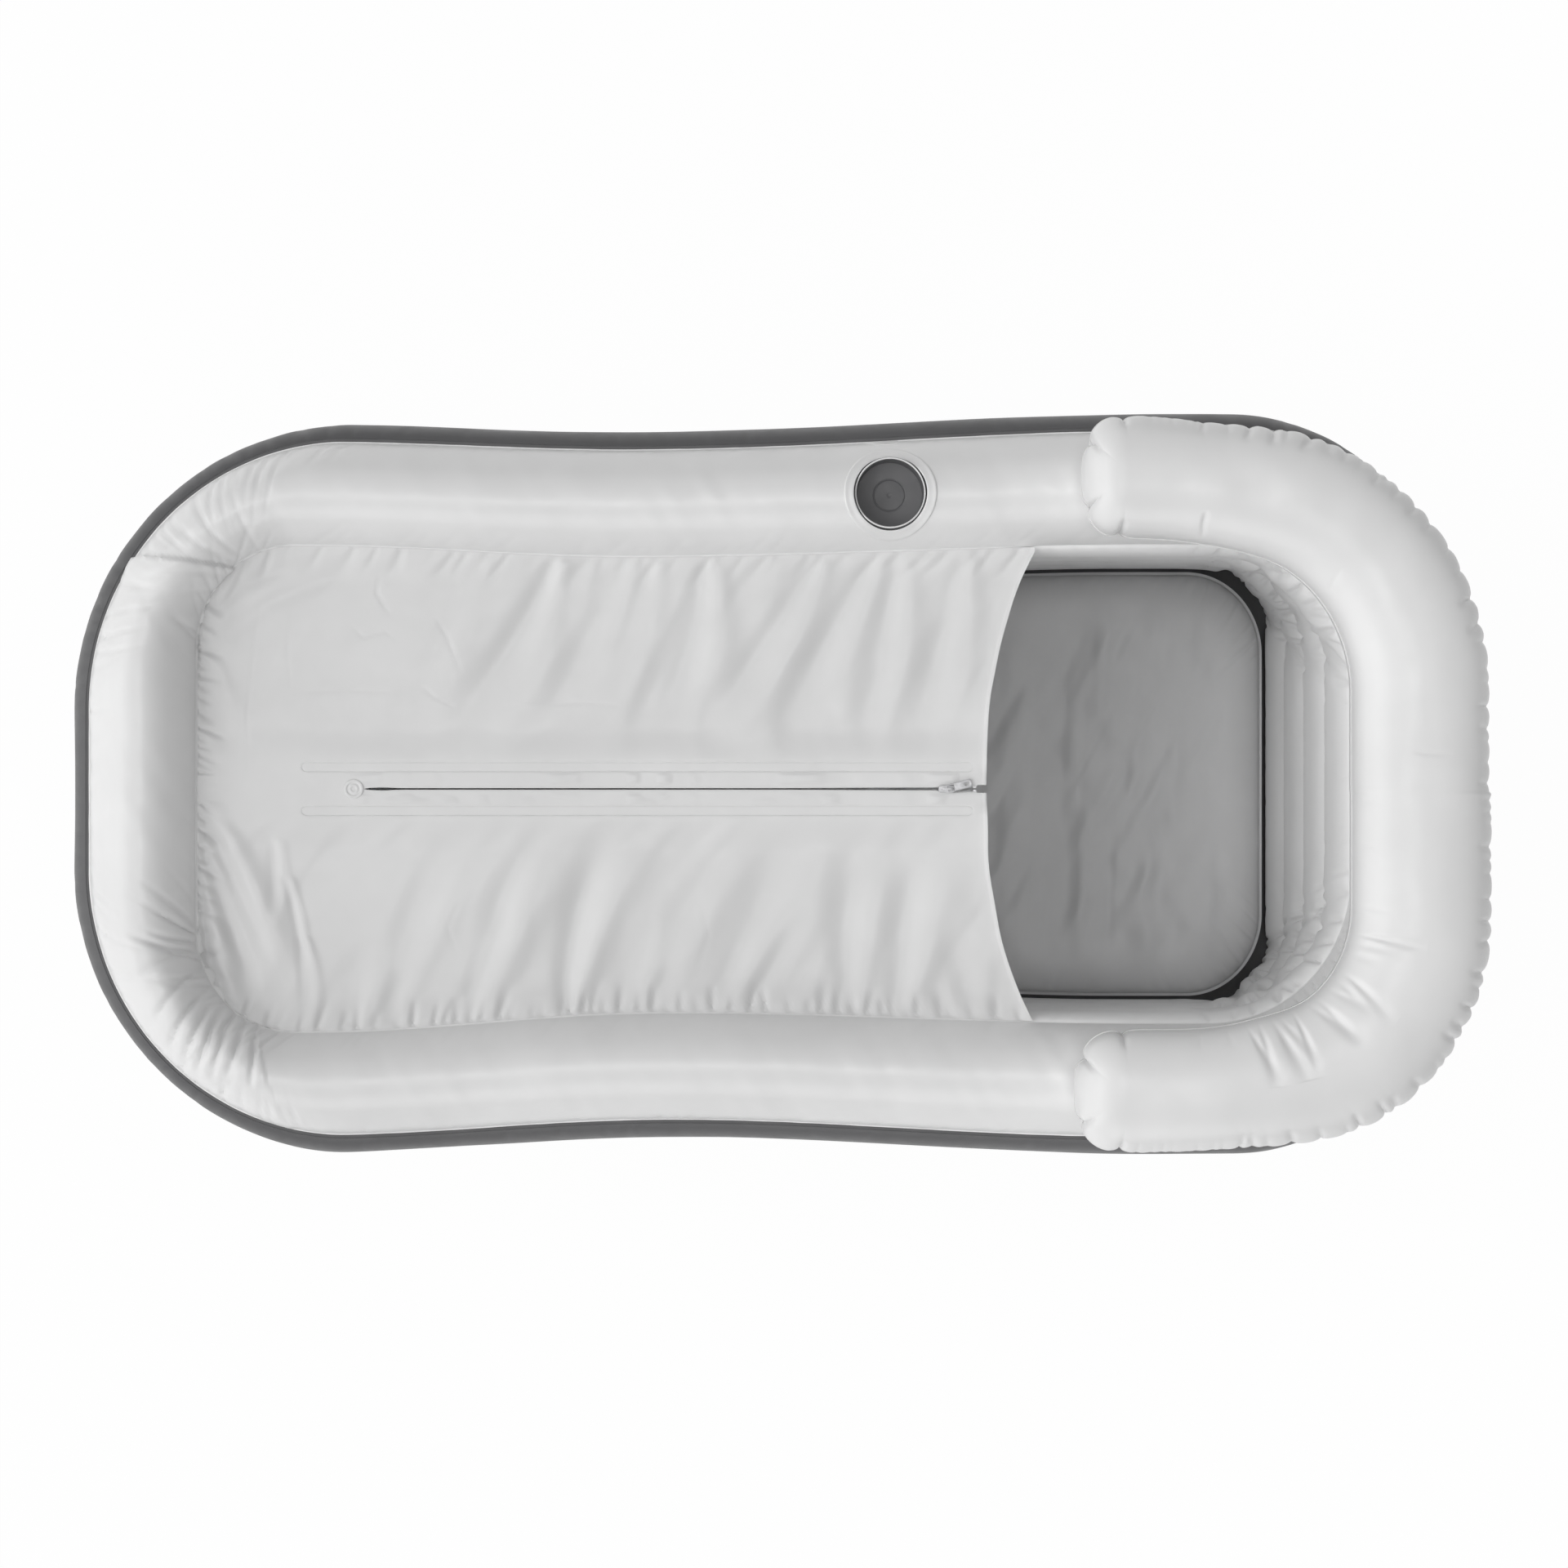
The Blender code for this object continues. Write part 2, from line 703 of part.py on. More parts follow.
def cover_edge_x(y, half):
    return free_edge_x() + COVER_EDGE_SWEEP * (abs(y - ZIP_Y) / half) ** COVER_EDGE_POWER


def slit_half(x):
    past = x - free_edge_x() + SLIT_OPENS_FROM_EDGE
    share = min(1.0, max(0.0, past / (SLIT_OPENS_FROM_EDGE - SLIT_OPEN_FROM_EDGE)))
    return SLIT_HALF + (SLIT_OPEN_HALF - SLIT_HALF) * share


def cover_height(x, y, edge_half, along):
    """The sheet's level: flat beside the zip and at the weld, with soft leaning folds between."""
    off = abs(y - ZIP_Y)
    if off <= COVER_FLAT_HALF or off >= edge_half:
        return cover_level()
    ramp = math.sin(math.pi * (off - COVER_FLAT_HALF) / (edge_half - COVER_FLAT_HALF))
    lean = math.radians(COVER_FOLD_LEAN)
    phase = 2 * math.pi * (x * math.sin(lean) - y * math.cos(lean)) / COVER_FOLD_LENGTH
    ends = math.sin(math.pi / 2 * min(1.0, along / COVER_FOLD_START_SHARE))
    return cover_level() + ramp * ends * (COVER_FOLD * (math.sin(phase) - 1) / 2 - COVER_SAG)


def make_cover(cover_white):
    """One sheet with a slit for the zip, from the foot weld to a hollowed free edge."""
    outline = grown(inner_seam(), -COVER_EDGE_CLEAR)
    foot_x = -outline.foot
    side_x = free_edge_x() + COVER_EDGE_SWEEP
    slit_column = None
    columns = []
    for i in range(COVER_COLUMNS + 1):
        along = (i / COVER_COLUMNS) ** FOOT_CROWDING
        columns.append((foot_x + (side_x - foot_x) * along, along))
    mesh_data = bmesh.new()
    grid = []
    for index, (side, along) in enumerate(columns):
        half = half_width(outline, side)
        middle_x = foot_x + (free_edge_x() - foot_x) * along
        if slit_column is None and middle_x > slit_foot_x():
            slit_column = index
        row = []
        for hand in (-1, 1):
            seam_y = hand * half
            flat_y = ZIP_Y + hand * COVER_FLAT_HALF
            spots = [ZIP_Y + hand * slit_half(middle_x)]
            spots += [flat_y + (seam_y - flat_y) * share for share in COVER_ROW_SHARES]
            points = []
            for y in spots:
                x = foot_x + (min(cover_edge_x(y, half), side_x) - foot_x) * along
                z = cover_height(x, y, abs(seam_y - ZIP_Y), along)
                points.append(mesh_data.verts.new((x, y, z)))
            row.append(points)
        grid.append(row)
    snap_slit(grid[slit_column])
    for index, (low, high) in enumerate(zip(grid, grid[1:])):
        for hand in (0, 1):
            for a, b, c, d in zip(low[hand], low[hand][1:], high[hand][1:], high[hand]):
                mesh_data.faces.new((a, b, c, d))
        if index < slit_column:
            mesh_data.faces.new((low[0][0], high[0][0], high[1][0], low[1][0]))
    for face in mesh_data.faces:
        face.normal_update()
        if face.normal.z < 0:
            face.normal_flip()
    add_sheet("cover_sheet", mesh_data, cover_white)


def snap_slit(column):
    """Puts the column where the slit starts exactly at its foot end."""
    for points in column:
        points[0].co.x = slit_foot_x()


def add_sheet(name, mesh_data, material):
    """An open sheet with its faces up, thickened downwards."""
    mesh = bpy.data.meshes.new(name)
    mesh_data.to_mesh(mesh)
    mesh_data.free()
    mesh.shade_smooth()
    mesh.materials.append(material)
    made = bpy.data.objects.new(name, mesh)
    bpy.context.scene.collection.objects.link(made)
    thicken = made.modifiers.new("sheet", "SOLIDIFY")
    thicken.thickness = SHEET
    thicken.offset = -1


def stadium(x0, x1, y, width, steps):
    """A strip outline with round ends."""
    radius = width / 2
    points = []
    for centre, turn in ((x1 - radius, -math.pi / 2), (x0 + radius, math.pi / 2)):
        for i in range(steps + 1):
            angle = turn + math.pi * i / steps
            points.append((centre + radius * math.cos(angle), y + radius * math.sin(angle)))
    return points


def make_cover_welds(cover_white):
    low = cover_level() + GAP
    for side, hand in (("left", -1), ("right", 1)):
        middle_y = ZIP_Y + hand * STRIP_OFFSET
        foot_end, head_end = slit_foot_x() - STRIP_PAST_SLIT, free_edge_x() - STRIP_FROM_EDGE
        outline = stadium(foot_end, head_end, middle_y, STRIP_WIDTH, STRIP_END_STEPS)
        add_object(f"cover_weld_strip_{side}", prism(outline, low, low + STRIP_THICK, Matrix()), cover_white)
    place = Matrix.Translation((slit_foot_x() - DISC_PAST_SLIT, ZIP_Y, low))
    groove = DISC_RADIUS / 2
    dished = DISC_THICK - DISC_DIMPLE
    profile = [(0, 0), (DISC_RADIUS, 0), (DISC_RADIUS, dished), (DISC_RADIUS - DISC_THICK, DISC_THICK),
               (groove + DISC_THICK, DISC_THICK), (groove, dished), (0, dished)]
    add_object("slit_end_disc", turned(profile, place, DISC_SIDES), cover_white)


def zip_top():
    """Top of the tapes and coils, one gap under the cover sheet."""
    return cover_level() - SHEET - GAP


def make_zip(fabric, coil_white, steel):
    top = zip_top()
    tape_ends = slit_foot_x() - TAPE_PAST_SLIT, free_edge_x() - TAPE_FROM_EDGE
    coil_ends = slit_foot_x() - COIL_PAST_SLIT, free_edge_x() - COIL_FROM_EDGE
    for side, hand in (("left", -1), ("right", 1)):
        coil_outer = COIL_INNER + COIL_WIDTH
        tape_inner = coil_outer + GAP
        spans = sorted(ZIP_Y + hand * value for value in (tape_inner, tape_inner + TAPE_WIDTH))
        tape = box(*tape_ends, *spans, top - TAPE_THICK, top)
        add_object(f"zip_tape_{side}", tape, fabric, False)
        spans = sorted(ZIP_Y + hand * value for value in (COIL_INNER, coil_outer))
        bar = box(*coil_ends, *spans, top - COIL_HEIGHT, top)
        bevelled(add_object(f"zip_coil_{side}", bar, coil_white, False), COIL_BEVEL)
        start = coil_ends[1] + GAP
        stop = box(start, start + STOP_LENGTH, ZIP_Y + hand * COIL_INNER, ZIP_Y + hand * (tape_inner - GAP),
                   top - COIL_HEIGHT, top)
        add_object(f"zip_top_stop_{side}", stop, steel, False)
    end = coil_ends[0] - GAP
    inner_half = COIL_INNER + COIL_WIDTH
    add_object("zip_bottom_stop", box(end - STOP_LENGTH, end, ZIP_Y - inner_half, ZIP_Y + inner_half,
                                      top - COIL_HEIGHT, top), steel, False)


def slider_x():
    return free_edge_x() - SLIDER_FROM_EDGE


def slider_top():
    return cover_level() + GAP + SLIDER_PLATE


def make_slider(steel):
    """An I-shaped slider: a plate over the sheet, a neck through the slit, a plate under the coils."""
    under_top = zip_top() - COIL_HEIGHT - GAP
    levels = (under_top - SLIDER_PLATE, under_top, cover_level() + GAP, slider_top())
    wide, thin = SLIDER_WIDTH / 2, SLIDER_NECK / 2
    right = [(wide, levels[0]), (wide, levels[1]), (thin, levels[1]), (thin, levels[2]), (wide, levels[2]),
             (wide, levels[3])]
    outline = right + [(-y, z) for y, z in reversed(right)]
    middle = Vector((slider_x(), ZIP_Y, slider_top()))
    rows = [[Vector((slider_x() + x, ZIP_Y + y, z)) for y, z in outline]
            for x in (-SLIDER_LENGTH / 2, SLIDER_LENGTH / 2)]
    slider = add_object("zip_slider", cap_mesh(rows), steel, False)
    set_origin(slider, middle)
    bevelled(slider, SLIDER_BEVEL)
    return slider


def make_bridge(steel, slider):
    """The staple on the slider that the pull tab hangs on."""
    low = slider_top() + GAP
    half, wall, high = BRIDGE_LENGTH / 2, BRIDGE_WALL, low + BRIDGE_HEIGHT
    outline = [(-half, low), (-half, high), (half, high), (half, low), (half - wall, low),
               (half - wall, high - wall), (wall - half, high - wall), (wall - half, low)]
    rows = [[Vector((slider_x() + x, ZIP_Y + y, z)) for x, z in outline]
            for y in (-BRIDGE_WIDTH / 2, BRIDGE_WIDTH / 2)]
    bridge = add_object("zip_slider_bridge", cap_mesh(rows), steel, False)
    set_origin(bridge, slider.location)
    return bridge


def pull_pivot():
    opening = BRIDGE_HEIGHT - BRIDGE_WALL
    return Vector((slider_x(), ZIP_Y, slider_top() + GAP + opening / 2))


def make_pull(steel):
    """The pull tab, yawed a little on its bar, which turns in the bridge."""
    pivot = pull_pivot()
    place = Matrix.Translation(pivot) @ Matrix.Rotation(math.radians(PULL_YAW), 4, "Z")
    half = PULL_THICK / 2
    tip = PULL_LENGTH - half
    wide = PULL_WIDTH / 2
    corner = PULL_WIDTH * PULL_CORNER_SHARE
    outline = [(-half, -wide), (tip - corner, -wide), (tip, corner - wide), (tip, wide - corner),
               (tip - corner, wide), (-half, wide)]
    pull = add_object("zip_pull", prism(outline, -half, half, place), steel, False)
    grip_tip = tip - PULL_GRIP_INSET
    windows = (("eye", half, half + PULL_WINDOW_LENGTH, PULL_WINDOW_WIDTH / 2),
               ("grip", grip_tip - PULL_GRIP_LENGTH, grip_tip, PULL_GRIP_WIDTH / 2))
    for label, near, far, side in windows:
        window = [(near, -side), (far, -side), (far, side), (near, side)]
        tool = prism(window, -PULL_THICK, PULL_THICK, place)
        combine(pull, add_object(f"pull_{label}_cutter", tool, None, False), "DIFFERENCE")
    set_origin(pull, pivot)


def cap_pivot(place, flange):
    """Where a cap's strap bends, over the flange."""
    height = GAP + VALVE_PLATE + GAP + CAP_PLATE / 2
    return place @ Vector((flange * CAP_PIVOT_SHARE, 0, height))


def make_stem(name, place, flange, stem, bore, depth, material):
    """A weld flange on the wall with a tube through it."""
    high = GAP + VALVE_PLATE
    profile = [(bore, -depth), (stem, -depth), (stem, GAP), (flange, GAP), (flange, high), (bore, high)]
    add_object(name, turned(profile, place, VALVE_SIDES), material)


def make_cap(name, place, flange, bore, material):
    """A round cap with a tapered plug in the bore and a strap to its bending line."""
    low = GAP + VALVE_PLATE + GAP
    radius = bore + CAP_OVERLAP
    half_strap = bore * CAP_STRAP_WIDTH_SHARE
    start = math.asin(half_strap / radius)
    steps = VALVE_SIDES - 4
    outline = [(flange * CAP_PIVOT_SHARE, -half_strap), (flange * CAP_PIVOT_SHARE, half_strap)]
    for i in range(steps + 1):
        angle = start + (2 * math.pi - 2 * start) * i / steps
        outline.append((radius * math.cos(angle), radius * math.sin(angle)))
    cap = add_object(name, prism(outline, low, low + CAP_PLATE, place), material)
    deep = low - bore * CAP_PLUG_DEPTH_SHARE
    inside = low + CAP_PLATE / 2
    plug = add_object(f"{name}_plug_tool", turned(
        [(0, deep), (bore * CAP_PLUG_TIP_SHARE, deep), (bore * CAP_PLUG_SHARE, low - GAP),
         (bore * CAP_PLUG_SHARE, inside), (0, inside)], place, VALVE_SIDES), None)
    combine(cap, plug, "UNION")
    set_origin(cap, cap_pivot(place, flange))


def make_flap(name, place, stem, depth, material):
    """A check flap that hangs over the stem's inner end."""
    radius = stem + FLAP_OVERLAP
    high = -depth - GAP
    low = high - FLAP_THICK
    profile = [(0, low), (radius, low), (radius, high), (0, high)]
    flap = add_object(name, turned(profile, place, VALVE_SIDES), material)
    set_origin(flap, place @ Vector((radius, 0, (low + high) / 2)))


def make_valves(outer, pad, rest, clear):
    ring_middle = ring_level(WALL_VALVE_RING, 0.5, OUTER_SEAM_Z)
    wall_spot = (outer_crest(WALL_VALVE_RING).head, WALL_VALVE_Y, ring_middle)
    wall_place = frame_at(wall_spot, (1, 0, 0), (0, 0, 1))
    make_stem("wall_valve_base", wall_place, WALL_VALVE_FLANGE, WALL_VALVE_STEM, WALL_VALVE_BORE,
              WALL_VALVE_DEPTH, clear)
    make_flap("wall_valve_flap", wall_place, WALL_VALVE_STEM, WALL_VALVE_DEPTH, clear)
    make_cap("wall_valve_cap", wall_place, WALL_VALVE_FLANGE, WALL_VALVE_BORE, clear)
    hole = rod_cutter("wall_valve_cutter", wall_place, WALL_VALVE_STEM + GAP, -OVERRUN, OVERRUN)
    combine(outer, hole, "DIFFERENCE")

    upper, lower = rest_valve_facet()
    rest_place = frame_at((upper + lower) / 2, Vector((upper.z - lower.z, 0, lower.x - upper.x)), (0, 0, 1))
    pad_spot = (PAD_VALVE_FROM_EDGE - pad_edge().foot, 0, PAD_HEIGHT)
    pad_place = frame_at(pad_spot, (0, 0, 1), (1, 0, 0))
    for name, carrier, place in (("headrest_valve", rest, rest_place), ("pad_valve", pad, pad_place)):
        make_stem(f"{name}_base", place, SMALL_VALVE_FLANGE, SMALL_VALVE_STEM, SMALL_VALVE_BORE,
                  SMALL_VALVE_DEPTH, clear)
        make_cap(f"{name}_cap", place, SMALL_VALVE_FLANGE, SMALL_VALVE_BORE, clear)
        hole = rod_cutter(f"{name}_cutter", place, SMALL_VALVE_STEM + GAP, -SMALL_VALVE_DEPTH - GAP, OVERRUN)
        combine(carrier, hole, "DIFFERENCE")


def rest_valve_facet():
    """The headrest's flat facet just below its outer edge, at the middle of the head end."""
    outer, inner = rest_rails()
    middle = len(outer) // 2
    section = rest_section(outer[middle], inner[middle], 1.0)
    return section[-1], section[-2]


def make_drain(outer, inner, dark, clear):
    """A tube through both walls at the foot end, capped outside and plugged inside."""
    level = ring_level(0, 0.5, OUTER_SEAM_Z)
    outside = frame_at((-outer_crest(0).foot, 0, level), (-1, 0, 0), (0, 0, 1))
    inside = frame_at((-inner_crest(0).foot, 0, level), (1, 0, 0), (0, 0, 1))
    make_stem("drain_outer_flange", outside, DRAIN_FLANGE, DRAIN_STEM, DRAIN_BORE, DRAIN_STEM_DEPTH, dark)
    make_cap("drain_cap", outside, DRAIN_FLANGE, DRAIN_BORE, dark)
    make_stem("drain_inner_flange", inside, DRAIN_FLANGE, DRAIN_STEM, DRAIN_BORE, DRAIN_STEM_DEPTH, clear)
    reach = outer_crest(0).foot - inner_crest(0).foot
    low = -reach + DRAIN_STEM_DEPTH + GAP
    high = -DRAIN_STEM_DEPTH - GAP
    tube_profile = [(DRAIN_BORE, low), (DRAIN_STEM, low), (DRAIN_STEM, high), (DRAIN_BORE, high)]
    add_object("drain_tube", turned(tube_profile, inside, VALVE_SIDES), dark)
    seat = GAP + VALVE_PLATE + GAP
    shank = DRAIN_BORE - PLUG_BORE_CLEAR
    tip = shank * PLUG_TIP_SHARE
    plug_profile = [(0, -PLUG_REACH), (tip, -PLUG_REACH), (shank, seat), (PLUG_HEAD_RADIUS, seat),
                    (PLUG_HEAD_RADIUS, seat + PLUG_HEAD_THICK), (0, seat + PLUG_HEAD_THICK)]
    plug = add_object("drain_plug", turned(plug_profile, inside, VALVE_SIDES), dark)
    set_origin(plug, inside @ Vector((0, 0, seat)))
    for name, wall, place in (("drain_outer_cutter", outer, outside), ("drain_inner_cutter", inner, inside)):
        combine(wall, rod_cutter(name, place, DRAIN_STEM + GAP, -OVERRUN, OVERRUN), "DIFFERENCE")


def main():
    clear_scene()
    dark = make_material("dark_pvc", DARK_GREY, 0.45)
    white = make_material("white_pvc", WHITE, 0.35)
    grey = make_material("grey_pvc", MID_GREY, 0.5)
    cover_white = make_material("cover_pvc", COVER_WHITE, 0.35)
    clear = make_material("clear_pvc", CLEAR_GREY, 0.2)
    fabric = make_material("zip_tape", WHITE, 0.8)
    steel = make_material("zip_metal", STEEL, 0.3, 0.6)
    cup_dark = make_material("cup_pvc", CUP_GREY, 0.4)
    outer, inner, rim = make_body(dark, white)
    for number in range(1, RINGS):
        make_web(number, white)
    pad = make_floor_pad(grey)
    rest = make_headrest(white)
    make_cup_holder(rim, cup_dark, white)
    make_cover(cover_white)
    make_cover_welds(cover_white)
    make_zip(fabric, white, steel)
    slider = make_slider(steel)
    make_bridge(steel, slider)
    make_pull(steel)
    make_valves(outer, pad, rest, clear)
    make_drain(outer, inner, dark, clear)


main()
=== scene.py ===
"""The inflatable bathtub as it looks: welded PVC sheet with its puckers and folds, zip and fittings."""
import math
from typing import NamedTuple

import bmesh
import bpy
import numpy as np
from mathutils import Matrix, Vector
from mathutils.bvhtree import BVHTree


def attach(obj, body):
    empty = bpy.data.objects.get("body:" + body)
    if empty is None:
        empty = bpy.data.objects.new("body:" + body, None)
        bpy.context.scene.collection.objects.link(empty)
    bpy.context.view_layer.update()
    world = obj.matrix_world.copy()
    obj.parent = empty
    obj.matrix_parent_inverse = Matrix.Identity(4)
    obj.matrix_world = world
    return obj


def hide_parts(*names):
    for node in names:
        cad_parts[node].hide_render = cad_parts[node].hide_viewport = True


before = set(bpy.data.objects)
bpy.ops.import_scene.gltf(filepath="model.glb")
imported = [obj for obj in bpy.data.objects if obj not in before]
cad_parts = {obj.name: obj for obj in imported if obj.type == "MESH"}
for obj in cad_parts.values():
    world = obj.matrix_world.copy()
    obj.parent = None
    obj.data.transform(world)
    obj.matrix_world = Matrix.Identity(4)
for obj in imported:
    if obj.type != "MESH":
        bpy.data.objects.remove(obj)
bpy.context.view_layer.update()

# Records of sizes, in metres


class Outline(NamedTuple):
    """An outline seen from above: how far its ends reach, its half widths and its corners' radii."""
    foot: float
    head: float
    half_foot: float
    half_waist: float
    half_head: float
    corner_foot: float
    corner_head: float


class Pucker(NamedTuple):
    """Puckers off a weld: the gap between them, and how long, wide, deep and leaning each one is."""
    gap: float
    length: float
    width: float
    depth: float
    lean: float


class Rail(NamedTuple):
    """Half of the cushion's outer or inner weld line: its reach, its corner and where the arm is drawn in."""
    head: float
    side: float
    corner: float
    pinch: float
    pinch_x: float
    pinch_width: float


class Fold(NamedTuple):
    """A soft fold in the cover: where it leaves its weld, bends and ends, and its width at both ends."""
    start: tuple
    bend: tuple
    end: tuple
    narrow: float
    wide: float
    steep: float


class Valve(NamedTuple):
    """A round fitting: its place, its sizes, the nodes it stands for, its cap's body and its slot."""
    name: str
    place: Matrix
    flange: float
    stem: float
    bore: float
    depth: float
    base: str
    cap: str
    body: str
    slot: str


# Camera, straight above the tub
CAMERA_SPOT = (0.033, 0.0, 4.0)
CAMERA_LENS = 72.206

# Plan outlines, from the frame's own sizes
WAIST_X = -0.115
SHOULDER_FOOT_X = -0.50
SHOULDER_HEAD_X = 0.45
BASE_LINE = Outline(0.7735, 0.776, 0.402, 0.390, 0.409, 0.318, 0.2435)
OUTER_SEAM = Outline(0.748, 0.765, 0.389, 0.376, 0.396, 0.290, 0.2235)
WELL_FLOOR = Outline(0.627, 0.651, 0.274, 0.262, 0.284, 0.11, 0.082)
INNER_SEAM = Outline(0.627, 0.670, 0.274, 0.257, 0.269, 0.11, 0.16)
PAD_EDGE = Outline(0.605, 0.633, 0.252, 0.243, 0.264, 0.088, 0.092)

# Levels and wall shape
BASE_LEVEL = 0.0011
OUTER_SEAM_LEVEL = 0.460
INNER_SEAM_LEVEL = 0.470
LAP_RISE = 0.0019
RINGS = 4
OUTER_BULGE = 0.024
INNER_BULGE = 0.012
SEAM_LAP = 0.005
BASE_LAP = 0.012
SHEET = 0.0008
SLACK_BEHIND = 0.0045
RIM_RISE = 0.063
OUTER_LAP = 0.0012
INNER_LAP = 0.0005
FOOT_SWAY = -0.005
RING_ROWS = 17
OUTER_LOBES = 0.0005
INNER_LOBES = 0.0085
WEB_CLEAR = 0.0016
WEB_WINDOW = (0.35, 0.65)

# Puckers along each weld: on the straights, and in the corners
OUTER_PUCKERS = (Pucker(0.030, 0.022, 0.0042, 0.0010, 0.0), Pucker(0.020, 0.030, 0.0045, 0.0014, 0.0))
INNER_PUCKERS = (Pucker(0.026, 0.022, 0.0042, 0.0009, 0.0), Pucker(0.017, 0.050, 0.0040, 0.0060, 0.0))
RIM_OUTER_PUCKERS = (Pucker(0.014, 0.026, 0.0026, 0.0008, 0.35), Pucker(0.015, 0.085, 0.0030, 0.0017, 0.1))
RIM_INNER_PUCKERS = (Pucker(0.020, 0.040, 0.0030, 0.0007, -0.55), Pucker(0.0125, 0.120, 0.0024, 0.0044, 0.0))
PAD_PUCKERS = (Pucker(0.024, 0.028, 0.0045, 0.0010, 0.1), Pucker(0.016, 0.050, 0.0050, 0.0024, 0.0))
REST_OUTER_PUCKERS = (Pucker(0.0125, 0.011, 0.0018, 0.0016, 0.0), Pucker(0.0240, 0.020, 0.0034, 0.0060, 0.0))
REST_INNER_PUCKERS = (Pucker(0.060, 0.020, 0.0030, 0.0010, 0.0), Pucker(0.0150, 0.055, 0.0042, 0.0026, 0.0))
COVER_LEFT_PUCKER = Pucker(0.019, 0.027, 0.0050, 0.0026, 0.40)
COVER_RIGHT_PUCKER = Pucker(0.025, 0.030, 0.0062, 0.0017, -0.40)
COVER_FOOT_PUCKER = Pucker(0.0130, 0.026, 0.0042, 0.0028, -0.45)

# Rim
RIM_ROWS = 53
# Plan path, width and depth of the deep wrinkles in the rim's foot corners
RIM_GROOVES = (
    (((-0.620, -0.182), (-0.650, -0.193), (-0.680, -0.212)), 0.0034, 0.0022),
    (((-0.617, -0.205), (-0.640, -0.228), (-0.664, -0.262)), 0.0036, 0.0032),
    (((-0.609, -0.228), (-0.630, -0.258), (-0.651, -0.297)), 0.0034, 0.0044),
    (((-0.602, -0.240), (-0.617, -0.275), (-0.636, -0.312)), 0.0032, 0.0040),
    (((-0.593, -0.248), (-0.603, -0.285), (-0.621, -0.324)), 0.0034, 0.0046),
    (((-0.581, -0.255), (-0.589, -0.290), (-0.603, -0.330)), 0.0032, 0.0042),
    (((-0.569, -0.262), (-0.572, -0.295), (-0.584, -0.328)), 0.0036, 0.0036),
    (((-0.556, -0.268), (-0.553, -0.300), (-0.556, -0.336)), 0.0032, 0.0034),
    (((-0.570, 0.243), (-0.610, 0.262), (-0.655, 0.300)), 0.0032, 0.0012),
    (((-0.566, 0.248), (-0.598, 0.276), (-0.630, 0.322)), 0.0030, 0.0012),
    (((-0.575, 0.234), (-0.620, 0.236), (-0.680, 0.226)), 0.0034, 0.0013),
    (((-0.588, 0.222), (-0.630, 0.212), (-0.685, 0.190)), 0.0032, 0.0011),
    (((-0.552, 0.252), (-0.565, 0.290), (-0.585, 0.345)), 0.0030, 0.0008),
)

# Columns round a quarter of the tub: end, corner, side
END_COLUMNS = 34
CORNER_COLUMNS = 108
SIDE_COLUMNS = 122
COARSE = 3

# Floor cushion
PAD_EDGE_LEVEL = 0.0255
PAD_TOP = 0.050
PAD_CROWN = 0.070
PAD_FLANGE = 0.0036

# Headrest cushion
REST_ARM_START = 0.402
REST_END_LENGTHS = (0.054, 0.046)
REST_SEAM_LEVEL = 0.585
REST_CROWN = 0.055
REST_DEPTH = 0.072
REST_FLANGE = 0.0010
REST_SWAY = -0.008
# Columns along each part of the cushion's weld line
REST_ARM, REST_TURN, REST_HEAD, REST_CAP = 60, 190, 60, 108
REST_RAIL = REST_ARM + REST_TURN + REST_HEAD
REST_OUTER = (Rail(0.7995, 0.400, 0.260, 0.009, 0.575, 0.090), Rail(0.797, 0.400, 0.285, 0.008, 0.520, 0.070))
REST_INNER = (Rail(0.6495, 0.267, 0.140, 0.010, 0.550, 0.050), Rail(0.649, 0.267, 0.160, 0.008, 0.520, 0.055))
# Plan path, width and depth of the headrest's single wrinkles
REST_WRINKLES = ((((0.484, 0.262), (0.483, 0.278), (0.485, 0.292)), 0.0030, 0.0022),
                 (((0.630, 0.232), (0.622, 0.215), (0.616, 0.200)), 0.0028, 0.0010),
                 (((0.705, 0.035), (0.725, 0.032), (0.748, 0.033)), 0.0024, 0.0006))
REST_VALVE_SPOT = (0.789827, 0, 0.545508)
REST_VALVE_FACING = (0.88067, 0, -0.47373)

# Cover and zip
COVER_LEVEL = 0.4697
COVER_EDGE = INNER_SEAM._replace(foot=0.6254, head=0.6684, half_foot=0.2724, half_waist=0.2554,
                                 half_head=0.2674, corner_foot=0.1084, corner_head=0.1584)
FREE_EDGE_X = 0.2603
EDGE_SWEEP = 0.054
EDGE_POWER = 2.5
ZIP_Y = -0.0055
SLIT_FOOT_X = -0.4430
SLIT_HALF = (0.0009, 0.0036)
SLIT_OPENS = (0.198, 0.224)
COVER_COLUMNS = 349
COVER_ROWS = 124
FOOT_CROWDING = 1.35
EDGE_COLUMNS = 24
EDGE_SHARE = 0.034
STRIP_OFFSET = 0.0245
STRIP_WIDTH = 0.0108
STRIP_SINK = 0.0013
STRIP_ROWS = (0.0186, 0.0192, 0.0198, 0.0204, 0.0210, 0.0230, 0.0260, 0.0280, 0.0286, 0.0292, 0.0298, 0.0304)
ZIP_ROWS = 12
STRIP_THICK = 0.0010
STRIP_ENDS = (-0.508, 0.245)
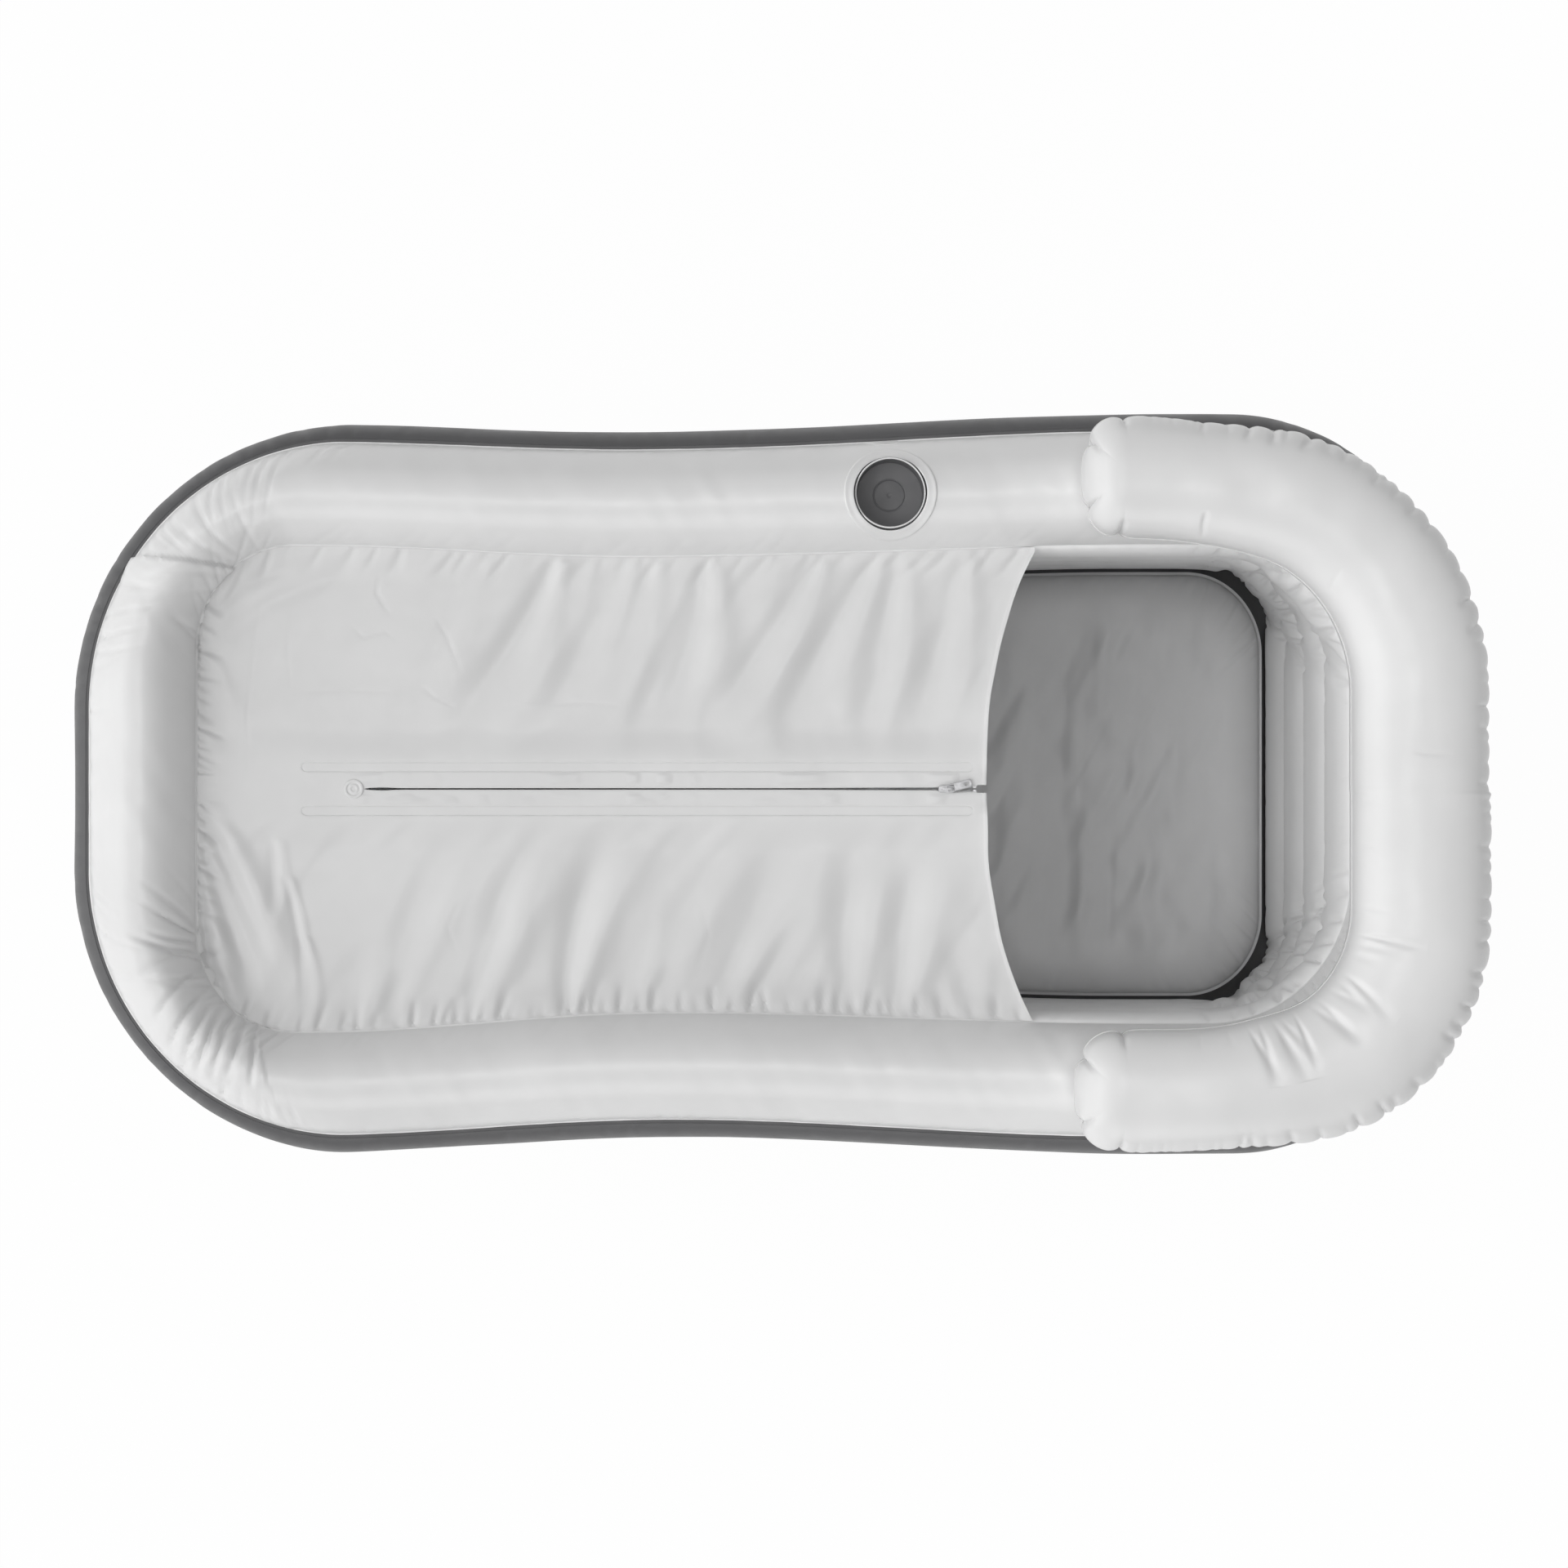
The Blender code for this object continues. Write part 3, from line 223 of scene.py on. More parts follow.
# The strips' section, as shares of their width and thickness
STRIP_SECTION = ((-0.5, 0.0), (-0.5, 0.55), (-0.47, 0.80), (-0.41, 0.95), (-0.32, 1.0), (-0.12, 0.96),
                 (0.12, 0.96), (0.32, 1.0), (0.41, 0.95), (0.47, 0.80), (0.5, 0.55), (0.5, 0.0))
STOP_DISC_X = -0.4500
TAPE_ENDS = (-0.462, 0.250)
TAPE_OFFSETS = (0.0031, 0.0151)
TAPE_TOP = 0.4686
TAPE_THICK = 0.0006
# The tapes' section from the corded edge outwards, as shares of their width and thickness
TAPE_SECTION = ((0.0, 0.2), (0.03, 0.0), (0.09, 0.0), (0.12, 0.15), (0.9, 0.15), (1.0, 0.3), (1.0, 0.8),
                (0.9, 0.95), (0.12, 0.95), (0.09, 1.0), (0.03, 1.0), (0.0, 0.8))
TURN_START_X = -0.458 + 0.0006
TURN_PITCH = 0.0015
TURNS = 467
TURN_OFFSET = 0.00185
TURN_DROP = 0.0011
TURN_SIZE = (0.00090, 0.00078)
TURN_LEAN = 0.20
TURN_JITTER = 0.04
WIRE_RADIUS = 0.00030
COIL_INPUTS = {"Start": "Vector", "Pitch": "Float", "Turns": "Int", "Width": "Float", "Height": "Float",
               "Wire": "Float", "Lean": "Float", "Seed": "Int", "Finish": "Material"}
# Slider: half length, half width and thickness of its plates; pull: length, width and thickness
SLIDER_X = 0.2165
SLIDER_TOP = 0.4712
SLIDER_PLATE = (0.0100, 0.00425, 0.0012)
SLIDER_UNDER_LEVEL = 0.4655
SLIDER_NECK_LEVEL = 0.4680
PULL_LEVEL = 0.47275
PULL_SIZE = (0.029, 0.0095, 0.0013)
PULL_TURN = 15

# Side folds: start, bend and end in plan, and how steep each one is
SIDE_FOLDS = (
    ((-0.303, 0.263), (-0.343, 0.156), (-0.392, 0.040), 0.16),
    ((-0.214, 0.261), (-0.259, 0.156), (-0.321, 0.040), 0.30),
    ((-0.222, 0.259), (-0.236, 0.177), (-0.281, 0.060), 0.22),
    ((-0.176, 0.258), (-0.204, 0.216), (-0.222, 0.173), 0.16),
    ((-0.134, 0.258), (-0.170, 0.165), (-0.219, 0.040), 0.26),
    ((-0.110, 0.256), (-0.131, 0.173), (-0.194, 0.040), 0.22),
    ((-0.050, 0.256), (-0.053, 0.173), (-0.095, 0.040), 0.34),
    ((0.020, 0.256), (-0.001, 0.212), (-0.018, 0.170), 0.22),
    ((0.076, 0.257), (0.038, 0.173), (-0.050, 0.040), 0.32),
    ((0.143, 0.258), (0.105, 0.180), (0.048, 0.040), 0.34),
    ((0.166, 0.259), (0.159, 0.173), (0.133, 0.040), 0.28),
    ((0.240, 0.261), (0.227, 0.180), (0.192, 0.040), 0.30),
    ((-0.405, -0.275), (-0.370, -0.160), (-0.303, -0.040), 0.30),
    ((-0.321, -0.270), (-0.281, -0.169), (-0.219, -0.040), 0.36),
    ((-0.210, -0.265), (-0.183, -0.146), (-0.139, -0.040), 0.28),
    ((-0.450, -0.275), (-0.437, -0.231), (-0.410, -0.170), 0.24),
    ((-0.204, -0.262), (-0.183, -0.152), (-0.127, -0.036), 0.30),
    ((-0.143, -0.260), (-0.124, -0.209), (-0.095, -0.150), 0.26),
    ((-0.106, -0.259), (-0.064, -0.142), (-0.015, -0.036), 0.24),
    ((-0.043, -0.258), (0.017, -0.152), (0.073, -0.040), 0.36),
    ((-0.001, -0.258), (0.041, -0.177), (0.094, -0.060), 0.22),
    ((0.112, -0.260), (0.120, -0.149), (0.143, -0.036), 0.34),
    ((0.166, -0.262), (0.182, -0.170), (0.199, -0.040), 0.34),
    ((0.252, -0.266), (0.245, -0.205), (0.231, -0.140), 0.20),
)
FOOT_FOLDS = (
    Fold((-0.624, -0.086), (-0.609, -0.169), (-0.584, -0.240), 0.0055, 0.0120, 0.80),
    Fold((-0.625, -0.138), (-0.609, -0.196), (-0.583, -0.250), 0.0045, 0.0080, 0.62),
    Fold((-0.621, -0.018), (-0.579, -0.106), (-0.535, -0.257), 0.0090, 0.0200, 0.50),
    Fold((-0.624, -0.058), (-0.597, -0.124), (-0.550, -0.257), 0.0060, 0.0120, 0.62),
    Fold((-0.538, -0.060), (-0.534, -0.106), (-0.541, -0.170), 0.0060, 0.0070, 0.30),
    Fold((-0.526, -0.100), (-0.508, -0.173), (-0.505, -0.280), 0.0040, 0.0055, 0.42),
    Fold((-0.508, -0.170), (-0.495, -0.222), (-0.503, -0.275), 0.0040, 0.0060, 0.36),
    Fold((-0.624, 0.150), (-0.600, 0.090), (-0.580, 0.030), 0.0060, 0.0200, 0.16),
)
# Plan path, width and height of the sharp storage creases
COVER_CREASES = (
    (((-0.606, 0.190), (-0.575, 0.224), (-0.515, 0.247)), 0.0070, -0.0018),
    (((-0.592, 0.160), (-0.548, 0.202), (-0.455, 0.240)), 0.0090, -0.0016),
    (((-0.555, 0.21), (-0.57, 0.08), (-0.568, -0.045)), 0.0022, -0.0004),
    (((-0.42, 0.235), (-0.425, 0.215), (-0.41, 0.19)), 0.0022, -0.0008),
    (((-0.455, 0.18), (-0.44, 0.165), (-0.415, 0.172), (-0.40, 0.16)), 0.0020, -0.0006),
    (((-0.36, 0.19), (-0.345, 0.165), (-0.33, 0.125)), 0.0022, -0.0007),
    (((-0.375, 0.11), (-0.36, 0.098), (-0.335, 0.086)), 0.0020, -0.0007),
    (((-0.52, 0.104), (-0.45, 0.105), (-0.385, 0.103)), 0.0020, -0.0004),
    (((-0.52, 0.20), (-0.525, 0.15), (-0.52, 0.104)), 0.0020, -0.0003),
    (((-0.30, 0.085), (-0.20, 0.092), (-0.11, 0.086)), 0.0020, -0.0003),
    (((-0.33, -0.13), (-0.345, -0.16), (-0.335, -0.19)), 0.0020, -0.0005),
    (((-0.06, -0.13), (-0.052, -0.17), (-0.062, -0.20)), 0.0020, -0.0005),
)

# Cup holder
CUP_SPOT = (0.1505, 0.322)
CUP_BEND_LEVEL = 0.523
CUP_FLOOR_LEVEL = 0.490
# The weld ring's section: radius, and height over the rim
COLLAR_SECTION = ((0.0404, 0.0003), (0.0408, 0.0012), (0.0416, 0.0015), (0.0440, 0.0010), (0.0475, 0.0009),
                  (0.0490, 0.0014), (0.0500, 0.0015), (0.0508, 0.0012), (0.0515, 0.0005), (0.0515, 0.0))
COLLAR_CLEAR = 0.0003

# Valves and drain: flange radius, stem radius, bore radius and depth of the stem
WALL_VALVE_SIZES = (0.021, 0.0100, 0.0080, 0.018)
CUSHION_VALVE_SIZES = (0.0155, 0.0072, 0.0055, 0.012)
DRAIN_SIZES = (0.024, 0.0125, 0.0105, 0.016)
WALL_VALVE_SPOT = (0.793125, 0.060, 0.2879375)
PAD_VALVE_X = -0.500
DRAIN_INSIDE_SPOT = (-0.615, 0, 0.0584625)
DRAIN_OUTSIDE_SPOT = (-0.79675, 0, 0.0584625)
# Where a fitting keeps the walls calm round its weld, and how far out
CALM_SPOTS = (((0.7931, 0.060, 0.2879), 0.026), ((-0.7968, 0.0, 0.0585), 0.028),
              ((-0.615, 0.0, 0.0585), 0.028))
# How deep the sheet is drawn in behind the wall valve, with room for its flap, and past any other stem
FLAP_ROOM = 0.030
PIT_CLEAR = 0.001

# Finishes
WHITE = (0.80, 0.80, 0.80)
# A lighter copy of the white PVC for the well's wall: painted light that makes up for the light the deep well
# does not get
WELL_WHITE_PAINTED_LIGHT = (0.91, 0.91, 0.91)
COVER_WHITE = (0.725, 0.725, 0.725)
DARK_GREY = (0.105, 0.105, 0.108)
# The floor cushion's grey, made much lighter than the cushion's own colour: painted light that makes up for
# the dim light in the well
PAD_GREY_PAINTED_LIGHT = (0.665, 0.665, 0.67)
CLEAR_GREY = (0.55, 0.56, 0.57)
CUP_GREY = (0.13, 0.13, 0.135)
STEEL = (0.56, 0.56, 0.57)

# Stage floor
FLOOR_HALF = 6
FLOOR_LEVEL = -0.0003
FLOOR_PAINT = (0.9, 0.9, 0.9, 1)
FLOOR_GLOW = 0.97

# Soft studio lamps: name, strength, spread in degrees, and where each one stands
LAMPS = (("low key", 1.10, 70, (-0.85, -0.10, 0.35)), ("high key", 0.72, 50, (-0.60, 0.0, 0.80)),
         ("front fill", 0.66, 40, (0.0, -0.85, 0.50)), ("back fill", 0.16, 40, (0.0, 0.85, 0.50)),
         ("overhead", 0.38, 14, (0.0, 0.0, 1.0)))
FILL_LIGHT = 0.27


def placed(name, data):
    """A new object in the scene for a mesh, curve, lamp or camera."""
    item = bpy.data.objects.new(name, data)
    bpy.context.scene.collection.objects.link(item)
    return item


def add_node(tree, kind, values=(), feeds=(), **settings):
    """A new node with its settings, its sockets' own values and the outputs that feed its sockets."""
    node = tree.nodes.new(kind)
    for name, setting in settings.items():
        setattr(node, name, setting)
    for socket, value in dict(values).items():
        node.inputs[socket].default_value = value
    for socket, output in dict(feeds).items():
        tree.links.new(output, node.inputs[socket])
    return node


def place_camera():
    """A long lens looking straight down."""
    camera = placed("camera", bpy.data.cameras.new("camera"))
    camera.location = CAMERA_SPOT
    camera.data.sensor_width = 36.0
    camera.data.lens = CAMERA_LENS
    bpy.context.scene.camera = camera


# Outline helpers

def mixed(first, second, share):
    """The outline that lies a share of the way from the first to the second."""
    return Outline(*(a + (b - a) * share for a, b in zip(first, second)))


def grown(outline, by):
    """The outline moved outwards all round, or inwards when by is negative."""
    return Outline(*(value + by for value in outline))


def width_ratio(outline, x):
    """How much wider the outline is at x than at its waist, easing out to the shoulders."""
    shoulder = np.where(x > WAIST_X, SHOULDER_HEAD_X, SHOULDER_FOOT_X)
    end_half = np.where(x > WAIST_X, outline.half_head, outline.half_foot)
    share = np.minimum(1.0, (x - WAIST_X) / (shoulder - WAIST_X))
    return 1 + (end_half / outline.half_waist - 1) * (1 - np.cos(np.pi * share)) / 2


def quarter(length, half, corner):
    """x and y from an end's middle, round the corner, to just before the side's middle."""
    straight = half - corner
    turn = np.linspace(0, math.pi / 2, CORNER_COLUMNS + 1)
    side = np.linspace(length - corner, 0, SIDE_COLUMNS, endpoint=False)[1:]
    x = np.concatenate([np.full(END_COLUMNS, length), length - corner + corner * np.cos(turn), side])
    y = np.concatenate([np.linspace(0, straight, END_COLUMNS, endpoint=False),
                        straight + corner * np.sin(turn), np.full(len(side), half)])
    return x, y


def sway(x):
    """The foot end sits a little to the left, as a hand-welded tub does."""
    return FOOT_SWAY * smooth(-x, 0.0, 0.5)


def plan(outline):
    """The outline's columns, anticlockwise from the middle of the head end."""
    x, y = quarter(outline.head, outline.half_waist, outline.corner_head)
    foot_x, foot_y = quarter(outline.foot, outline.half_waist, outline.corner_foot)
    x = np.concatenate([x, [0.0], -foot_x[::-1]])
    y = np.concatenate([y, [outline.half_waist], foot_y[::-1]])
    x = np.concatenate([x, x[-2:0:-1]])
    y = np.concatenate([y, -y[-2:0:-1]])
    return np.stack([x, y * width_ratio(outline, x) + sway(x)], -1)


def loop(outline, level):
    """The outline's columns as points at one level."""
    points = plan(outline)
    return np.column_stack([points, np.full(len(points), level)])


def half_width(outline, x):
    """Half the outline's width at x."""
    length = np.where(x > 0, outline.head, outline.foot)
    corner = np.where(x > 0, outline.corner_head, outline.corner_foot)
    past = np.clip(np.abs(x) - (length - corner), 0, corner)
    half = outline.half_waist - corner + np.sqrt(corner ** 2 - past ** 2)
    return half * width_ratio(outline, x)


def lengths_along(points):
    """Distance of each column from the first, and the whole way round."""
    steps = np.linalg.norm(np.roll(points, -1, 0) - points, axis=1)
    return np.concatenate([[0], np.cumsum(steps)[:-1]]), steps.sum()


def smooth(value, low, high):
    """0 up to low, 1 from high on, and an even ease between them."""
    share = np.clip((value - low) / (high - low), 0, 1)
    return share * share * (3 - 2 * share)


def corner_weights(outline, head=1.0, foot_left=1.0, foot_right=1.0):
    """1 in the corners and 0 on the straights, scaled for each corner; left is -Y."""
    x, y = plan(outline).T
    length = np.where(x > 0, outline.head, outline.foot)
    corner = np.where(x > 0, outline.corner_head, outline.corner_foot)
    along_x = smooth(np.abs(x), length - corner - 0.05, length - corner + 0.06)
    along_y = smooth(np.abs(y), outline.half_waist - corner - 0.04, outline.half_waist - corner + 0.04)
    strength = np.where(x > 0, head, np.where(y < 0, foot_left, foot_right))
    return along_x * along_y * strength


def eased_shares(count):
    """Shares from 0 to 1 that lie closer together at both ends."""
    return (1 - np.cos(np.linspace(0, np.pi, count))) / 2


def crown(share, fullness, roundness):
    """A bulge from 0 at both ends to 1 in the middle."""
    return np.maximum(0, 1 - np.abs(2 * share - 1) ** fullness) ** roundness


# Surface relief

def grain(x, y, seed):
    """Smooth noise from -1 to 1 with one lump for each unit of x and y."""
    lattice = np.random.default_rng(seed).uniform(-1, 1, (64, 64))
    column, row = np.floor(x).astype(int), np.floor(y).astype(int)
    u, v = x - column, y - row
    u, v = (w * w * w * (w * (w * 6 - 15) + 10) for w in (u, v))
    corners = [lattice[(column + i) % 64, (row + j) % 64] for i in (0, 1) for j in (0, 1)]
    return (corners[0] * (1 - v) + corners[1] * v) * (1 - u) + (corners[2] * (1 - v) + corners[3] * v) * u


def folds(x, y, lean, across, along, seed):
    """Long soft folds leaning at an angle from +X, across wide and along long, from -1 to 1."""
    angle = math.radians(lean)
    over = x * math.sin(angle) - y * math.cos(angle)
    down = x * math.cos(angle) + y * math.sin(angle)
    return grain(over / across + 20.3, down / along + 20.7, seed)


def crease(x, y, path, width):
    """1 along a path of plan points, fading off it over width and towards the path's ends."""
    field = np.zeros(np.shape(x))
    whole = sum(math.dist(a, b) for a, b in zip(path, path[1:]))
    gone = 0.0
    for start, end in zip(path, path[1:]):
        run = np.subtract(end, start)
        length = np.hypot(*run)
        share = np.clip(((x - start[0]) * run[0] + (y - start[1]) * run[1]) / length ** 2, 0, 1)
        off = np.hypot(x - start[0] - share * run[0], y - start[1] - share * run[1])
        place = (gone + share * length) / whole
        fade = np.clip(np.minimum(place, 1 - place) * 4, 0, 1) ** 0.7
        field = np.maximum(field, fade * np.exp(-(off / width) ** 2))
        gone += length
    return field


def pucker_places(seed, along, total, weights, plain, tight):
    """Where the sheet puckers along a weld: plain on the straights, tight in the corners."""
    rng = np.random.default_rng(seed)
    places, where = [], rng.uniform(0, plain.gap)
    while where < total:
        weight = np.interp(where, along, weights)
        gap, length, width, depth, lean = (a + (b - a) * weight for a, b in zip(plain, tight))
        size = rng.uniform(0.35, 1.0) ** 1.3
        places.append((where, length * (0.45 + 1.2 * size), width * rng.uniform(0.75, 1.25),
                       depth * (0.15 + 1.1 * size), lean + rng.normal(0, 0.14)))
        where += gap * rng.uniform(0.5, 1.5)
    return places


def puckers(along, off, total, places, start=0.10):
    """Grooves that run off a weld: deepest close to it, wider and fading away from it."""
    field = np.zeros(off.shape)
    for where, length, width, depth, lean in places:
        reach_of_groove = 3.2 * width + abs(lean) * length
        gap = np.abs((along - where + total / 2) % total - total / 2)
        near = np.nonzero(gap < reach_of_groove)[0]
        reach = off[:, near] / length
        fade = np.clip(reach / start, 0, 1) * (1 - smooth(reach, 0.25, 1.0))
        beside = (along[near] - where + total / 2) % total - total / 2 - lean * off[:, near]
        spread = width * (0.6 + 0.9 * np.minimum(reach, 1))
        field[:, near] += depth * fade * np.exp(-(beside / spread) ** 2)
    return field


def calm_near(points, spots):
    """0 where a fitting is welded on and 1 away from it."""
    mask = np.ones(points.shape[:-1])
    for spot, radius in spots:
        away = np.linalg.norm(points - np.array(spot), axis=-1)
        mask = np.minimum(mask, smooth(away, radius, radius + 0.03))
    return mask


def surface_normals(points):
    """The outward direction at each point of a sheet that runs all the way round."""
    by_column = np.roll(points, -1, 1) - np.roll(points, 1, 1)
    by_row = np.gradient(points, axis=0)
    normals = np.cross(by_column, by_row)
    return normals / np.maximum(np.linalg.norm(normals, axis=-1, keepdims=True), 1e-12)


# Building pieces

def add_piece(name, points, faces, material, body="tub", stands_for=(), slot=None, merge=0.0, sharp=50.0):
    """A finished piece with its place in its mesh, riding on a body of the frame."""
    mesh = bpy.data.meshes.new(name)
    mesh.from_pydata([tuple(p) for p in points], [], faces)
    return dress_piece(name, mesh, material, body, stands_for, slot, merge, sharp)


def dress_piece(name, mesh, material, body="tub", stands_for=(), slot=None, merge=0.0, sharp=50.0):
    """Cleans a mesh, gives it its finish and its smooth shading, and hands it to the frame."""
    shape = bmesh.new()
    shape.from_mesh(mesh)
    if merge:
        bmesh.ops.remove_doubles(shape, verts=shape.verts, dist=merge)
    bmesh.ops.dissolve_degenerate(shape, edges=shape.edges, dist=1e-7)
    bmesh.ops.recalc_face_normals(shape, faces=shape.faces)
    shape.to_mesh(mesh)
    shape.free()
    mesh.materials.clear()
    mesh.materials.append(material)
    mesh.polygons.foreach_set("use_smooth", [True] * len(mesh.polygons))
    mesh.set_sharp_from_angle(angle=math.radians(sharp))
    piece = placed(name, mesh)
    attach(piece, body)
    if stands_for:
        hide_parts(*stands_for)
    return piece


def border(fine, coarse):
    """Faces that join every third point of a fine edge to a coarse edge behind it."""
    faces = []
    for i in range(len(coarse) - 1):
        faces.append([*fine[i * COARSE:i * COARSE + COARSE + 1], coarse[i + 1], coarse[i]])
    return faces


def sheet_faces(rows, columns, wrap, first=0):
    """Quads of a grid of points, with the point numbers as an array."""
    ids = first + np.arange(rows * columns).reshape(rows, columns)
    if wrap:
        ids = np.concatenate([ids, ids[:, :1]], 1)
    quads = np.stack([ids[:-1, :-1], ids[:-1, 1:], ids[1:, 1:], ids[1:, :-1]], -1)
    return ids, quads.reshape(-1, 4)


def shell(front, behind, open_last=True):
    """Points and faces of a closed sheet round the tub: a fine front joined to a coarse back."""
    rows, columns = front.shape[:2]
    back_rows, back_columns = behind.shape[:2]
    ids, quads = sheet_faces(rows, columns, True)
    back, back_quads = sheet_faces(back_rows, back_columns, True, rows * columns)
    faces = quads.tolist() + back_quads[:, ::-1].tolist()
    faces += border(ids[0][::-1].tolist(), back[0][::-1].tolist())
    if open_last:
        faces += border(ids[-1].tolist(), back[-1].tolist())
    return np.concatenate([front.reshape(-1, 3), behind.reshape(-1, 3)]), faces


def thickened(points, faces, thick):
    """A flat sheet given an underside, with its edges and windows closed."""
    sides = {(a, b) for face in faces for a, b in zip(face, face[1:] + face[:1])}
    count = len(points)
    under = [[point + count for point in face[::-1]] for face in faces]
    edges = [[b, a, a + count, b + count] for a, b in sides if (b, a) not in sides]
    return np.concatenate([points, points - (0, 0, thick)]), faces + under + sorted(edges)


def back_of(calm):
    """The sheet's hidden side: thin at the welds, and a little behind the folds elsewhere."""
    normals = surface_normals(calm)[::COARSE, ::COARSE]
    behind = calm[::COARSE, ::COARSE]
    depth = np.full(len(behind), SLACK_BEHIND)
    depth[[0, -1]] = SHEET
    return behind - normals * depth[:, None, None]


def eased(profile, radius, closed=False, steps=3):
    """A profile with its corners rounded."""
    points = [Vector(p) for p in profile]
    count = len(points)
    result = []
    for i, point in enumerate(points):
        if not closed and i in (0, count - 1):
            result.append(tuple(point))
            continue
        before, after = points[i - 1] - point, points[(i + 1) % count] - point
        cut = min(radius, before.length * 0.45, after.length * 0.45)
        start, end = point + before.normalized() * cut, point + after.normalized() * cut
        for step in range(steps + 1):
            t = step / steps
            result.append(tuple(start * (1 - t) ** 2 + point * 2 * t * (1 - t) + end * t ** 2))
    return result


def turned(name, profile, place, sides, material, closed=False, **facts):
    """A piece turned round place's Z axis from (radius, height) points; closed makes a ring."""
    profile = np.array(profile)
    turn = np.linspace(0, 2 * np.pi, sides, endpoint=False)
    points = np.stack([profile[:, :1] * np.cos(turn), profile[:, :1] * np.sin(turn),
                       np.repeat(profile[:, 1:], sides, 1)], -1)
    if closed:
        points = np.concatenate([points, points[:1]])
    _, quads = sheet_faces(len(points), sides, True)
    flat = points.reshape(-1, 3) @ np.array(place.to_3x3()).T + np.array(place.translation)
    return add_piece(name, flat, quads.tolist(), material, merge=1e-6, **facts)


def tube(name, loops, material, **facts):
    """A closed bar through loops of points, capped at both ends."""
    stations, count = loops.shape[:2]
    ids, quads = sheet_faces(stations, count, True)
    faces = quads.tolist() + [ids[0, :-1].tolist()[::-1], ids[-1, :-1].tolist()]
    return add_piece(name, loops.reshape(-1, 3), faces, material, **facts)


def plate(name, outlines, thick, bevel, place, material, **facts):
    """A flat plate with rounded edges, from an outline and its windows."""
    curve = bpy.data.curves.new(name, "CURVE")
    curve.dimensions = "2D"
    curve.fill_mode = "BOTH"
    curve.extrude = thick / 2 - bevel
    curve.bevel_depth = bevel
    curve.bevel_resolution = 2
    curve.offset = -bevel
    for outline in outlines:
        spline = curve.splines.new("POLY")
        spline.points.add(len(outline) - 1)
        for point, (x, y) in zip(spline.points, outline):
            point.co = (x, y, 0, 1)
        spline.use_cyclic_u = True
    holder = placed(name, curve)
    evaluated = holder.evaluated_get(bpy.context.evaluated_depsgraph_get())
    mesh = bpy.data.meshes.new_from_object(evaluated)
    bpy.data.objects.remove(holder)
    bpy.data.curves.remove(curve)
    mesh.transform(place)
    return dress_piece(name, mesh, material, merge=1e-6, sharp=35, **facts)


def rounded_box(x0, x1, y0, y1, radius, steps=4):
    """A rectangle's outline with round corners, anticlockwise."""
    points = []
    for cx, cy, start in ((x1 - radius, y1 - radius, 0), (x0 + radius, y1 - radius, 90),
                          (x0 + radius, y0 + radius, 180), (x1 - radius, y0 + radius, 270)):
        for step in range(steps + 1):
            angle = math.radians(start + 90 * step / steps)
            points.append((cx + radius * math.cos(angle), cy + radius * math.sin(angle)))
    return points


def frame_at(origin, normal, up):
    """A place whose Z axis is normal and whose X axis is nearest to up."""
    z = Vector(normal).normalized()
    y = z.cross(Vector(up)).normalized()
    place = Matrix((y.cross(z), y, z)).transposed().to_4x4()
    place.translation = origin
    return place


# Materials

